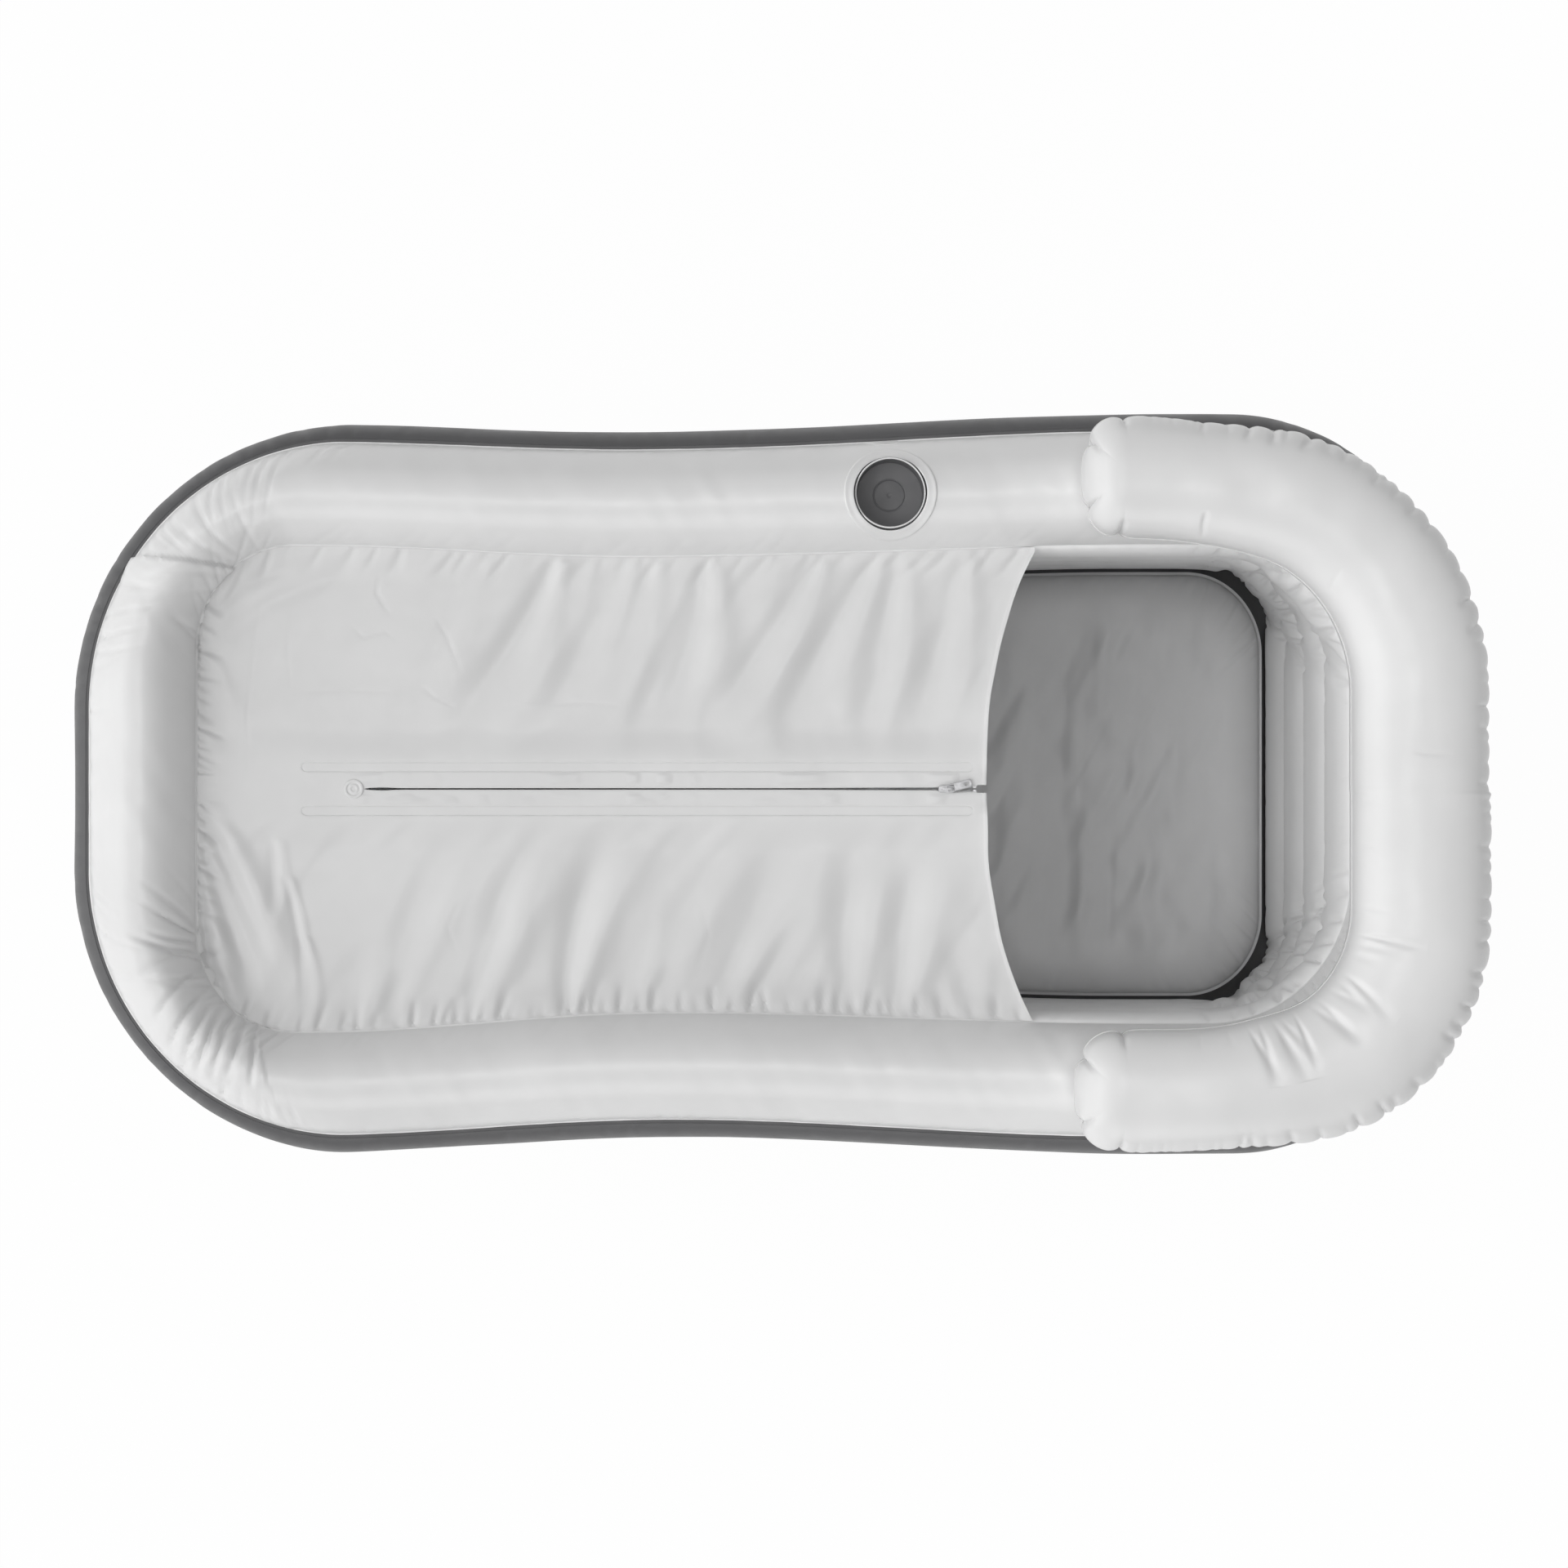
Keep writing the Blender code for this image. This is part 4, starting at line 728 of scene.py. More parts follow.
class Finish:
    """A node material built step by step on Object coordinates."""

    def __init__(self, name, colour, roughness, **sockets):
        self.material = bpy.data.materials.new(name)
        self.material.use_nodes = True
        self.links = self.material.node_tree.links
        self.surface = self.material.node_tree.nodes["Principled BSDF"]
        self.surface.inputs["Base Color"].default_value = (*colour, 1)
        self.surface.inputs["Roughness"].default_value = roughness
        for socket, value in sockets.items():
            self.surface.inputs[socket.replace("_", " ")].default_value = value
        self.place = self.add("ShaderNodeTexCoord", {}, {}).outputs["Object"]
        self.height = None
        self.colour = colour
        self.roughness = roughness

    def add(self, kind, values, feeds):
        return add_node(self.material.node_tree, kind, values, feeds)

    def mapping(self, scale, turn=(0, 0, 0)):
        """The piece's own coordinates, scaled and turned."""
        node = self.add("ShaderNodeMapping", {"Scale": scale, "Rotation": turn}, {"Vector": self.place})
        return node.outputs["Vector"]

    def noise(self, scale, detail=2.0, rough=0.5, vector=None, distortion=0.0):
        """Soft lumps from 0 to 1."""
        values = {"Scale": scale, "Detail": detail, "Roughness": rough, "Distortion": distortion}
        return self.add("ShaderNodeTexNoise", values, {"Vector": vector or self.place}).outputs["Fac"]

    def cells(self, scale):
        """Small pressed cells, by the distance from each one's middle."""
        return self.add("ShaderNodeTexVoronoi", {"Scale": scale}, {"Vector": self.place}).outputs["Distance"]

    def weave(self, scale, turn=0.0):
        """Fine threads side by side."""
        feeds = {"Vector": self.mapping((1, 1, 1), (0, 0, turn))}
        return self.add("ShaderNodeTexWave", {"Scale": scale}, feeds).outputs["Fac"]

    def ranged(self, value, low, high, to_low, to_high):
        """A value carried over from one range to another."""
        limits = {"From Min": low, "From Max": high, "To Min": to_low, "To Max": to_high}
        return self.add("ShaderNodeMapRange", limits, {"Value": value}).outputs["Result"]

    def tone(self, value, darker, lighter):
        """The colour drifts between a darker and a lighter share of itself."""
        ramp = self.add("ShaderNodeValToRGB", {}, {"Fac": value})
        for element, spot, share in zip(ramp.color_ramp.elements, (0.35, 0.65), (darker, lighter)):
            element.position = spot
            element.color = (*(c * share for c in self.colour), 1)
        self.links.new(ramp.outputs["Color"], self.surface.inputs["Base Color"])

    def gloss(self, value, spread):
        """The roughness drifts by a spread to both sides."""
        low, high = self.roughness - spread, self.roughness + spread
        self.links.new(self.ranged(value, 0.3, 0.7, low, high), self.surface.inputs["Roughness"])

    def bump(self, value, distance, strength=1.0):
        """A fine relief, laid over the reliefs before it."""
        feeds = {"Height": value, "Normal": self.height} if self.height else {"Height": value}
        node = self.add("ShaderNodeBump", {"Distance": distance, "Strength": strength}, feeds)
        self.height = node.outputs["Normal"]
        self.links.new(self.height, self.surface.inputs["Normal"])


def vinyl(name, colour, roughness, sheen=0.0, crinkle=0.00035):
    """Soft calendered PVC: a fine pressed grain, faint ripples and crinkles, uneven sheen."""
    finish = Finish(name, colour, roughness, Specular_IOR_Level=0.45, Coat_Weight=sheen, Coat_Roughness=0.28)
    finish.tone(finish.noise(5.0, 4.0, 0.6), 0.965, 1.02)
    finish.gloss(finish.noise(38.0, 3.0, 0.65), 0.06)
    ripples = finish.noise(22.0, 3.0, 0.5, finish.mapping((1.0, 0.55, 1.0), (0, 0, 0.6)), 0.4)
    finish.bump(ripples, crinkle, 0.6)
    finish.bump(finish.cells(820.0), 0.00004, 0.5)
    return finish.material


def clear_pvc():
    """Clear moulded PVC of the valves, a little milky."""
    finish = Finish("clear moulded PVC", CLEAR_GREY, 0.22, Transmission_Weight=0.35, IOR=1.5,
                    Subsurface_Weight=0.15)
    finish.tone(finish.noise(60.0, 2.0), 0.94, 1.05)
    finish.gloss(finish.noise(140.0, 2.0), 0.05)
    finish.bump(finish.noise(300.0, 2.0), 0.00003)
    return finish.material


def woven_tape():
    """White polyester tape with crossing threads."""
    finish = Finish("woven zip tape", WHITE, 0.85, Sheen_Weight=0.3, Sheen_Roughness=0.5)
    finish.tone(finish.noise(90.0, 3.0), 0.90, 1.02)
    finish.bump(finish.weave(260.0), 0.00012)
    finish.bump(finish.weave(260.0, math.pi / 2), 0.00010)
    return finish.material


def coil_plastic():
    """White drawn plastic wire."""
    finish = Finish("zip coil plastic", WHITE, 0.38, Subsurface_Weight=0.1)
    finish.tone(finish.noise(120.0, 2.0), 0.93, 1.02)
    finish.bump(finish.noise(900.0, 2.0), 0.00002)
    return finish.material


def plated_metal():
    """Dull plated zip metal with fine brushing."""
    finish = Finish("plated zip metal", STEEL, 0.42, Metallic=0.6)
    finish.tone(finish.noise(160.0, 3.0), 0.88, 1.06)
    finish.gloss(finish.noise(420.0, 3.0), 0.09)
    brushed = finish.noise(40.0, 4.0, 0.7, finish.mapping((4.0, 60.0, 60.0)))
    finish.bump(brushed, 0.00002)
    return finish.material


# Inflated body

def ring_rows(outline_at, top, bulge):
    """Rows of stacked rings from the base up, each bulging between its two welds."""
    shares = eased_shares(RING_ROWS)
    rows, offs = [], []
    height = top - BASE_LEVEL
    for ring in range(RINGS):
        for share in shares[ring > 0:]:
            level = (ring + share) / RINGS
            out = bulge * crown(share, 3.2, 0.6)
            rows.append(loop(grown(outline_at(level), out), BASE_LEVEL + height * level))
            offs.append((ring, share * height / RINGS, (1 - share) * height / RINGS))
    return np.array(rows), offs


def ring_relief(rows, offs, seed, weights, plain, tight, lobes):
    """Puckers off every weld between the rings, and lobes where the corners bunch up."""
    along, total = lengths_along(rows[len(rows) // 2][:, :2])
    relief = np.zeros(rows.shape[:2])
    rings = np.array([o[0] for o in offs])
    for ring in range(RINGS):
        own = np.nonzero(rings == ring)[0]
        if ring:
            own = np.concatenate([[own[0] - 1], own])
        height = rows[own[-1], 0, 2] - rows[own[0], 0, 2]
        low = rows[own, 0, 2] - rows[own[0], 0, 2]
        for side, off in ((0, low), (1, height - low)):
            places = pucker_places(seed + ring * 7 + side, along, total, weights, plain, tight)
            field = puckers(along, np.repeat(off[:, None], len(along), 1), total, places)
            relief[own] -= field
        swell = crown(low / height, 2.0, 0.8)[:, None]
        wave = grain(along / 0.030 + 3 * ring, np.full(len(along), 5.5 + ring), seed + 50 + ring)
        relief[own] += lobes * weights * wave * swell
    return relief


def fitting_hole(name):
    """Where a fitting's stem passes through its sheet, and its radius and depth."""
    valve = next(one for one in fittings() if one.name == name)
    return valve.place, valve.stem, FLAP_ROOM if name == "wall_valve" else valve.depth + PIT_CLEAR


def draw_in(points, hole):
    """The sheet is drawn in as a pit inside a fitting's stem, with its rim hidden under the flange."""
    place, radius, depth = hole
    inverse, turn = np.array(place.inverted()), np.array(place)
    local = points @ inverse[:3, :3].T + inverse[:3, 3]
    off = np.maximum(np.hypot(local[..., 0], local[..., 1]), 1e-6)
    near = np.abs(local[..., 2]) < 0.02
    edge, far = radius + 0.0022, radius + 0.0220
    inside = near & (off < edge)
    beside = near & (off >= edge) & (off < far)
    narrow = (radius - 0.0003) * (off / edge) ** 0.25
    share = np.clip((off - edge) / (far - edge), 0, 1)
    close = radius + 0.0005 + (far - radius - 0.0005) * share ** 2
    scale = np.where(inside, narrow, np.where(beside, close, off)) / off
    local[..., :2] *= scale[..., None]
    local[..., 2] = np.where(inside, local[..., 2] - depth, local[..., 2] * scale ** 2)
    return local @ turn[:3, :3].T + turn[:3, 3]


def draw_back(points, hole):
    """The hidden side of a sheet stays behind the pit."""
    place, radius, depth = hole
    away = points - np.array(place.translation)
    facing = np.array(place.col[2])[:3]
    off = np.linalg.norm(away - (away @ facing)[..., None] * facing, axis=-1)
    near = (off < radius + 0.022) & (np.abs(away @ facing) < 0.03)
    return points - (near * (depth + 0.005))[..., None] * facing


def pushed_out(calm, relief):
    """A sheet moved out by its relief, with its laps and the seams beside them left in place."""
    shift = np.zeros(calm.shape[:2])
    shift[1:-1] = relief
    shift[[1, -2]] = 0
    return calm + surface_normals(calm) * shift[..., None]


def make_outer_wall(dark):
    """The dark wall sheet from its lap on the base to its lap on the rim."""
    rings, offs = ring_rows(lambda s: mixed(BASE_LINE, OUTER_SEAM, s), OUTER_SEAM_LEVEL, OUTER_BULGE)
    weights = corner_weights(BASE_LINE)
    relief = ring_relief(rings, offs, 100, weights, *OUTER_PUCKERS, OUTER_LOBES)
    relief *= calm_near(rings, CALM_SPOTS)
    x, y, z = rings[..., 0], rings[..., 1], rings[..., 2]
    relief += 0.0008 * grain((x + y) / 0.13 + 9, z / 0.08 + 3, 141) * calm_near(rings, CALM_SPOTS)
    foot_lap = loop(grown(BASE_LINE, -BASE_LAP), BASE_LEVEL)
    top_lap = loop(grown(OUTER_SEAM, SEAM_LAP), OUTER_SEAM_LEVEL)
    calm = np.concatenate([foot_lap[None], rings, top_lap[None]])
    front, behind = pushed_out(calm, relief), back_of(calm)
    for hole in (fitting_hole("wall_valve"), fitting_hole("drain")):
        front, behind = draw_in(front, hole), draw_back(behind, hole)
    points, faces = shell(front, behind)
    return add_piece("outer_wall_sheet", points, faces, dark, stands_for=["outer_wall"], slot="dark_pvc")


def make_inner_wall(white):
    """The white wall sheet from its lap under the rim to its lap on the base."""
    rings, offs = ring_rows(lambda s: mixed(WELL_FLOOR, INNER_SEAM, s), INNER_SEAM_LEVEL, -INNER_BULGE)
    weights = corner_weights(WELL_FLOOR)
    relief = ring_relief(rings, offs, 200, weights, *INNER_PUCKERS, INNER_LOBES)
    relief *= calm_near(rings, CALM_SPOTS)
    lap = loop(grown(INNER_SEAM, -INNER_LAP), INNER_SEAM_LEVEL)
    foot = loop(grown(WELL_FLOOR, BASE_LAP), BASE_LEVEL)
    calm = np.concatenate([lap[None], rings[::-1], foot[None]])
    _, stem, _, depth = DRAIN_SIZES
    hole = drain_inside(), stem, depth + PIT_CLEAR
    points, faces = shell(draw_in(pushed_out(calm, relief[::-1]), hole), draw_back(back_of(calm), hole))
    return add_piece("inner_wall_sheet", points, faces, white, stands_for=["inner_wall"], slot="white_pvc")


def make_webs(white):
    """The flat bands in the wall chamber that hold the rings in, with windows that let the air through."""
    for number in range(1, RINGS):
        share = number / RINGS
        inner_level = BASE_LEVEL + (INNER_SEAM_LEVEL - BASE_LEVEL) * share
        outer_level = BASE_LEVEL + (OUTER_SEAM_LEVEL - BASE_LEVEL) * share
        inner = loop(grown(mixed(WELL_FLOOR, INNER_SEAM, share), WEB_CLEAR), inner_level)[::8]
        outer = loop(grown(mixed(BASE_LINE, OUTER_SEAM, share), -WEB_CLEAR), outer_level)[::8]
        rows = np.array([inner + (outer - inner) * s for s in (0.0, *WEB_WINDOW, 1.0)])
        _, quads = sheet_faces(*rows.shape[:2], True)
        columns = rows.shape[1]
        kept = [quad for i, quad in enumerate(quads.tolist()) if i // columns != 1 or i % 4]
        points, faces = thickened(rows.reshape(-1, 3), kept, SHEET)
        add_piece(f"tension_band_{number}", points, faces, white, stands_for=[f"tension_web_{number}"],
                  slot="white_pvc")


def rim_calm():
    """The rim without its wrinkles: lap, arch from the outer to the inner seam, lap."""
    shares = eased_shares(RIM_ROWS)
    outer = loop(OUTER_SEAM, OUTER_SEAM_LEVEL + LAP_RISE)
    inner = loop(INNER_SEAM, INNER_SEAM_LEVEL + LAP_RISE)
    arch = outer + (inner - outer) * shares[:, None, None]
    arch[..., 2] += RIM_RISE * crown(shares, 2.2, 0.75)[:, None]
    lap_out = loop(grown(OUTER_SEAM, OUTER_LAP), OUTER_SEAM_LEVEL + LAP_RISE)
    lap_in = loop(grown(INNER_SEAM, -INNER_LAP), INNER_SEAM_LEVEL + LAP_RISE)
    return np.concatenate([lap_out[None], arch, lap_in[None]])


def sheet_step(x, y, path, side, rise, reach):
    """The edge of a lapped sheet along a path: a sharp step that eases away on one side."""
    (x0, y0), (x1, y1) = path
    length = math.dist(*path)
    run = ((x1 - x0) / length, (y1 - y0) / length)
    down = (x - x0) * run[0] + (y - y0) * run[1]
    off = ((y - y0) * run[0] - (x - x0) * run[1]) * side
    inside = smooth(down, -0.02, 0.0) * (1 - smooth(down, length, length + 0.02))
    field = inside * smooth(off, -0.0008, 0.0008) * (1 - smooth(off, 0.006, reach))
    return rise * field


def rim_relief(arch):
    """The rim's puckers off both seams, its wrinkles and lapped edges, and its own slow lumps."""
    across = np.concatenate([np.zeros((1, arch.shape[1])),
                             np.cumsum(np.linalg.norm(np.diff(arch, axis=0), axis=-1), 0)])
    from_inner = across[-1] - across
    relief = np.zeros(across.shape)
    outer_along, outer_total = lengths_along(plan(OUTER_SEAM))
    inner_along, inner_total = lengths_along(plan(INNER_SEAM))
    places = pucker_places(11, outer_along, outer_total, corner_weights(OUTER_SEAM), *RIM_OUTER_PUCKERS)
    relief -= puckers(outer_along, across, outer_total, places)
    places = pucker_places(12, inner_along, inner_total, corner_weights(INNER_SEAM, 0.7, 0.8, 0.15),
                           *RIM_INNER_PUCKERS)
    relief -= puckers(inner_along, from_inner, inner_total, places)
    x, y = arch[..., 0], arch[..., 1]
    for path, width, depth in RIM_GROOVES:
        relief -= depth * crease(x, y, path, width)
    middle = crown(np.linspace(0, 1, len(arch)), 2.0, 0.7)[:, None]
    lumps = 0.0016 * grain(x / 0.17 + 9, y / 0.13 + 9, 21) + 0.0005 * grain(x / 0.05, y / 0.05, 22)
    relief += middle * lumps
    relief += 0.0006 * middle * folds(x, y, 28, 0.013, 0.10, 23) * smooth(-x, 0.40, 0.62)
    relief += 0.0004 * middle * folds(x, y, 118, 0.014, 0.09, 25) * smooth(from_inner, 0.01, 0.03)
    relief += sheet_step(x, y, ((-0.700, 0.255), (-0.573, 0.242)), -1, 0.0042, 0.05)
    relief += sheet_step(x, y, ((-0.552, -0.277), (-0.518, -0.395)), -1, 0.0014, 0.05)
    return relief * smooth(np.hypot(x - CUP_SPOT[0], y - CUP_SPOT[1]), 0.052, 0.09)


def make_rim(white):
    """The white sheet over the top of the walls, with its outer lap's edge a little uneven."""
    calm = rim_calm()
    front = pushed_out(calm, rim_relief(calm[1:-1]))
    outer_along, _ = lengths_along(plan(OUTER_SEAM))
    lap = (calm[0] - calm[1]) * (0.12 * grain(outer_along / 0.016, np.zeros(len(outer_along)), 24))[:, None]
    front[0] += lap
    behind = back_of(calm)
    sink_under_cup(front, 0.0428, CUP_FLOOR_LEVEL - 0.0040)
    sink_under_cup(behind, 0.0600, CUP_FLOOR_LEVEL - 0.0100)
    points, faces = shell(front, behind)
    return add_piece("rim_sheet", points, faces, white, stands_for=["top_rim"], slot="white_pvc")


def sink_under_cup(points, radius, level):
    """The rim's sheet is drawn down round the cup pocket, hidden by the pocket and its weld ring."""
    away = np.hypot(points[..., 0] - CUP_SPOT[0], points[..., 1] - CUP_SPOT[1])
    points[..., 2] = np.where(away < radius, level, points[..., 2])


def make_base(dark):
    """The flat sheet under the tub, with a pressed weld line near its edge."""
    insets = np.array([0.0, 0.0015, 0.009, 0.0105, 0.012, 0.0135, 0.03, 0.09, 0.16, 0.21])
    drops = np.array([0.0, 0.0, 0.0, 0.0003, 0.0003, 0.0, 0.0, 0.0, 0.0, 0.0])
    top = np.array([loop(grown(BASE_LINE, -i), SHEET - d) for i, d in zip(insets, drops)])
    under = np.array([loop(grown(BASE_LINE, -i), 0.0) for i in insets])
    points, faces = shell(top, under[::COARSE, ::COARSE], open_last=False)
    rows, columns = top.shape[:2]
    faces.append(list(range((rows - 1) * columns, rows * columns)))
    back = rows * columns + (len(insets[::COARSE]) - 1) * (columns // COARSE)
    faces.append(list(range(back, back + columns // COARSE))[::-1])
    return add_piece("base_sheet_skin", points, faces, dark, stands_for=["base_sheet"], slot="dark_pvc")


# Cushions

def make_floor_pad(grey):
    """The inflated floor cushion: a welded edge with its flange, a low crown and slack folds on top."""
    edge = plan(PAD_EDGE)
    middle = np.column_stack([np.clip(edge[:, 0], -0.37, 0.40), np.zeros(len(edge))])
    reach = np.linalg.norm(middle - edge, axis=1)
    shares = np.concatenate([eased_shares(45)[:23] * 0.9, np.linspace(0.45, 1, 38)[1:]])
    flat = edge + (middle - edge) * shares[:, None, None]
    off = reach * shares[:, None]
    rise = (PAD_TOP - PAD_EDGE_LEVEL) * crown(np.minimum(off / PAD_CROWN, 1) / 2, 2.6, 0.55)
    x, y = flat[..., 0], flat[..., 1]
    along, total = lengths_along(edge)
    places = pucker_places(31, along, total, corner_weights(PAD_EDGE), *PAD_PUCKERS)
    slack = smooth(off, 0.02, 0.09)
    soft = 0.0052 * folds(x, y, 87, 0.036, 0.26, 32) + 0.0034 * folds(x, y, 58, 0.036, 0.16, 33)
    soft += 0.0026 * folds(x, y, 125, 0.030, 0.12, 34)
    soft += 0.0028 * folds(x, y, 88, 0.016, 0.16, 36) + 0.0024 * folds(x, y, 62, 0.014, 0.09, 37)
    ridge = 0.0016 * np.abs(folds(x, y, 70, 0.075, 0.25, 35)) ** 0.6
    calm = calm_near(np.dstack([flat, np.full(x.shape, PAD_TOP)]), [((PAD_VALVE_X, 0, PAD_TOP), 0.018)])
    top = PAD_EDGE_LEVEL + rise + (soft - ridge) * slack * calm - puckers(along, off, total, places)
    top_points = np.dstack([flat, top])
    outward = plan(grown(PAD_EDGE, PAD_FLANGE))
    flange = np.dstack([outward[None], np.full((1, len(edge)), PAD_EDGE_LEVEL + 0.0004)])
    front = np.concatenate([flange, top_points])
    drop = (PAD_EDGE_LEVEL - BASE_LEVEL) * crown(np.minimum(off / 0.012, 1) / 2, 2.2, 0.7)
    under = np.concatenate([flange - (0, 0, SHEET), np.dstack([flat, PAD_EDGE_LEVEL - 0.0004 - drop])])
    trim = (len(front) - 1) % COARSE
    keep = np.delete(np.arange(len(front)), np.arange(30, 30 + trim))
    front, under = draw_in(front[keep], fitting_hole("pad_valve")), under[keep]
    points, faces = shell(front, under[::COARSE, ::COARSE], open_last=False)
    pad = add_piece("floor_cushion", points, faces, grey, stands_for=["floor_pad"], slot="grey_pvc",
                    merge=2e-6)


def half_rail(rail):
    """A rail from the middle of the head to the arm's end."""
    turn_x, turn_y = rail.head - rail.corner, rail.side - rail.corner
    angle = np.linspace(0, math.pi / 2, REST_TURN + 1)
    head = np.linspace(0, turn_y, REST_HEAD, endpoint=False)
    arm = np.linspace(turn_x, REST_ARM_START, REST_ARM + 1)[1:]
    x = np.concatenate([np.full(REST_HEAD, rail.head), turn_x + rail.corner * np.cos(angle), arm])
    y = np.concatenate([head, turn_y + rail.corner * np.sin(angle), np.full(REST_ARM, rail.side)])
    return np.column_stack([x, y - rail.pinch * np.exp(-((x - rail.pinch_x) / rail.pinch_width) ** 2)])


def whole_rail(left, right):
    """A weld line from the left arm's end round the head to the right arm's end."""
    left, right = half_rail(left)[:0:-1] * (1, -1), half_rail(right)
    points = np.concatenate([left, right])
    points[:, 1] += REST_SWAY * smooth(points[:, 0], 0.42, 0.75)
    return points


def rest_outline():
    """The cushion's weld line, anticlockwise, and the middle line it closes on."""
    outer = whole_rail(*REST_OUTER)
    inner = whole_rail(*REST_INNER)
    middle = (outer + inner) / 2
    turn = np.linspace(0, math.pi, REST_CAP + 2)[1:-1]
    wide = (REST_OUTER[0].side - REST_INNER[0].side) / 2
    across = wide * np.sign(np.cos(turn)) * np.abs(np.cos(turn)) ** 0.80
    cap = np.column_stack([-np.abs(np.sin(turn)) ** 0.85, across])
    upper_cap = cap * (REST_END_LENGTHS[1], 1) + middle[-1]
    lower_cap = cap * (REST_END_LENGTHS[0], 1) + middle[0]
    edge = np.concatenate([outer, upper_cap, inner[::-1], lower_cap])
    spine = np.concatenate([middle, np.repeat(middle[-1:], REST_CAP, 0), middle[::-1],
                            np.repeat(middle[:1], REST_CAP, 0)])
    return edge, spine


def rest_places(along, total):
    """Puckers along the weld: deep in the outer corners, fine on the arms, soft in the inner corners."""
    rail = 2 * REST_RAIL + 1
    turn = slice(REST_ARM, REST_ARM + REST_TURN)
    bend = np.zeros(rail)
    bend[turn] = bend[::-1][turn] = 1
    bend[REST_ARM + REST_TURN:rail - REST_ARM - REST_TURN] = 0.45
    bend = np.convolve(bend, np.ones(45) / 45, "same")
    inner_bend = np.maximum(0, (bend - 0.5) * 2)
    part = np.concatenate([np.zeros(rail), np.ones(REST_CAP), np.full(rail, 2), np.full(REST_CAP, 3)])
    weights = np.concatenate([bend, np.zeros(REST_CAP), inner_bend[::-1], np.zeros(REST_CAP)])
    outer = [place for place in pucker_places(41, along, total, weights, *REST_OUTER_PUCKERS)
             if np.interp(place[0], along, part) < 0.5]
    inner = [place for place in pucker_places(44, along, total, weights, *REST_INNER_PUCKERS)
             if along[rail + REST_CAP + REST_RAIL] < place[0] < along[2 * rail + REST_CAP]]
    ends = []
    for start, depths in ((rail, (0.0070, 0.0085, 0.0066, 0.0075)),
                          (2 * rail + REST_CAP, (0.0060, 0.0080, 0.0072, 0.0078))):
        for share, depth in zip((0.0, 0.33, 0.64, 0.97), depths):
            column = (start + round(share * REST_CAP)) % len(along)
            ends.append((along[column], 0.017, 0.0032, depth, 0.1))
    return outer, inner, ends


def notches(along, total, places):
    """How far the weld is drawn in at each place: sharp in the middle, easing to the sides."""
    drawn = np.zeros(len(along))
    for where, _, width, depth, _ in places:
        gap = np.abs((along - where + total / 2) % total - total / 2)
        drawn = np.maximum(drawn, depth * np.exp(-gap / (1.7 * width)))
    return drawn


def make_headrest(white, rim):
    """The U-shaped cushion: a notched weld line, a full crown above it and an underside lying on the rim."""
    edge, spine = rest_outline()
    along, total = lengths_along(edge)
    ahead = np.roll(edge, -1, 0) - np.roll(edge, 1, 0)
    outward = np.column_stack([ahead[:, 1], -ahead[:, 0]]) / np.linalg.norm(ahead, axis=1)[:, None]
    shares = eased_shares(91)[:46] * 2
    flat = edge + (spine - edge) * shares[:, None, None]
    off = np.linalg.norm(spine - edge, axis=1) * shares[:, None]
    arch = (1 - (1 - shares) ** 2.5) ** 0.4
    outer, inner, ends = rest_places(along, total)
    grooves = puckers(along, off, total, outer + ends, 0.02) + puckers(along, off, total, inner, 0.30)
    drawn = notches(along, total, outer + ends)
    draw = -drawn[None, :, None] * outward[None] * np.exp(-off / 0.011)[..., None]
    x, y = flat[..., 0], flat[..., 1]
    lumps = 0.0018 * grain(x / 0.12 + 9, y / 0.12 + 9, 42) + 0.0006 * grain(x / 0.045, y / 0.045, 43)
    for path, width, depth in REST_WRINKLES:
        grooves += depth * crease(x, y, path, width)
    lift = arch[:, None] * (REST_CROWN + lumps) - grooves * np.minimum(1, arch[:, None] * 1.3)
    top = np.dstack([flat + draw, REST_SEAM_LEVEL + lift])
    tip = edge + draw[0] + outward * REST_FLANGE
    flange = np.dstack([tip[None], np.full((1, len(edge)), REST_SEAM_LEVEL + 0.0004)])
    front = np.concatenate([flange, top])
    low = REST_SEAM_LEVEL - 0.0006 - REST_DEPTH * arch[:, None] * np.ones(x.shape)
    under = np.concatenate([flange - (0, 0, SHEET), np.dstack([flat + draw, low])])
    front, under = front[:46], under[:46]
    front[-1], under[-1] = top[-1], np.dstack([flat, low])[-1]
    under = flat_at_valve(rest_on_rim(under[::COARSE, ::COARSE].copy(), rim))
    under = draw_in(under, fitting_hole("headrest_valve"))
    points, faces = shell(front, under, open_last=False)
    rest = add_piece("headrest_cushion", points, faces, white, stands_for=["headrest"], slot="white_pvc",
                     merge=2e-6)


def flat_at_valve(points):
    """The cushion's skin lies flat under the valve's flange."""
    facing = np.array(REST_VALVE_FACING)
    beside = points - REST_VALVE_SPOT
    high = beside @ facing
    off = np.linalg.norm(beside - high[..., None] * facing, axis=-1)
    near = (1 - smooth(off, 0.0175, 0.0260)) * (np.abs(high) < 0.02)
    near[0] = 0
    return points - (near * high)[..., None] * facing


def rest_on_rim(points, rim):
    """The cushion's underside lies on the rim wherever it would sink into it."""
    tree = BVHTree.FromObject(rim, bpy.context.evaluated_depsgraph_get())
    for row in points[1:]:
        for point in row:
            hit = tree.ray_cast(Vector((point[0], point[1], 1.0)), Vector((0, 0, -1)))[0]
            if hit is not None:
                point[2] = max(point[2], hit.z + 0.0006)
    return points


# Cover

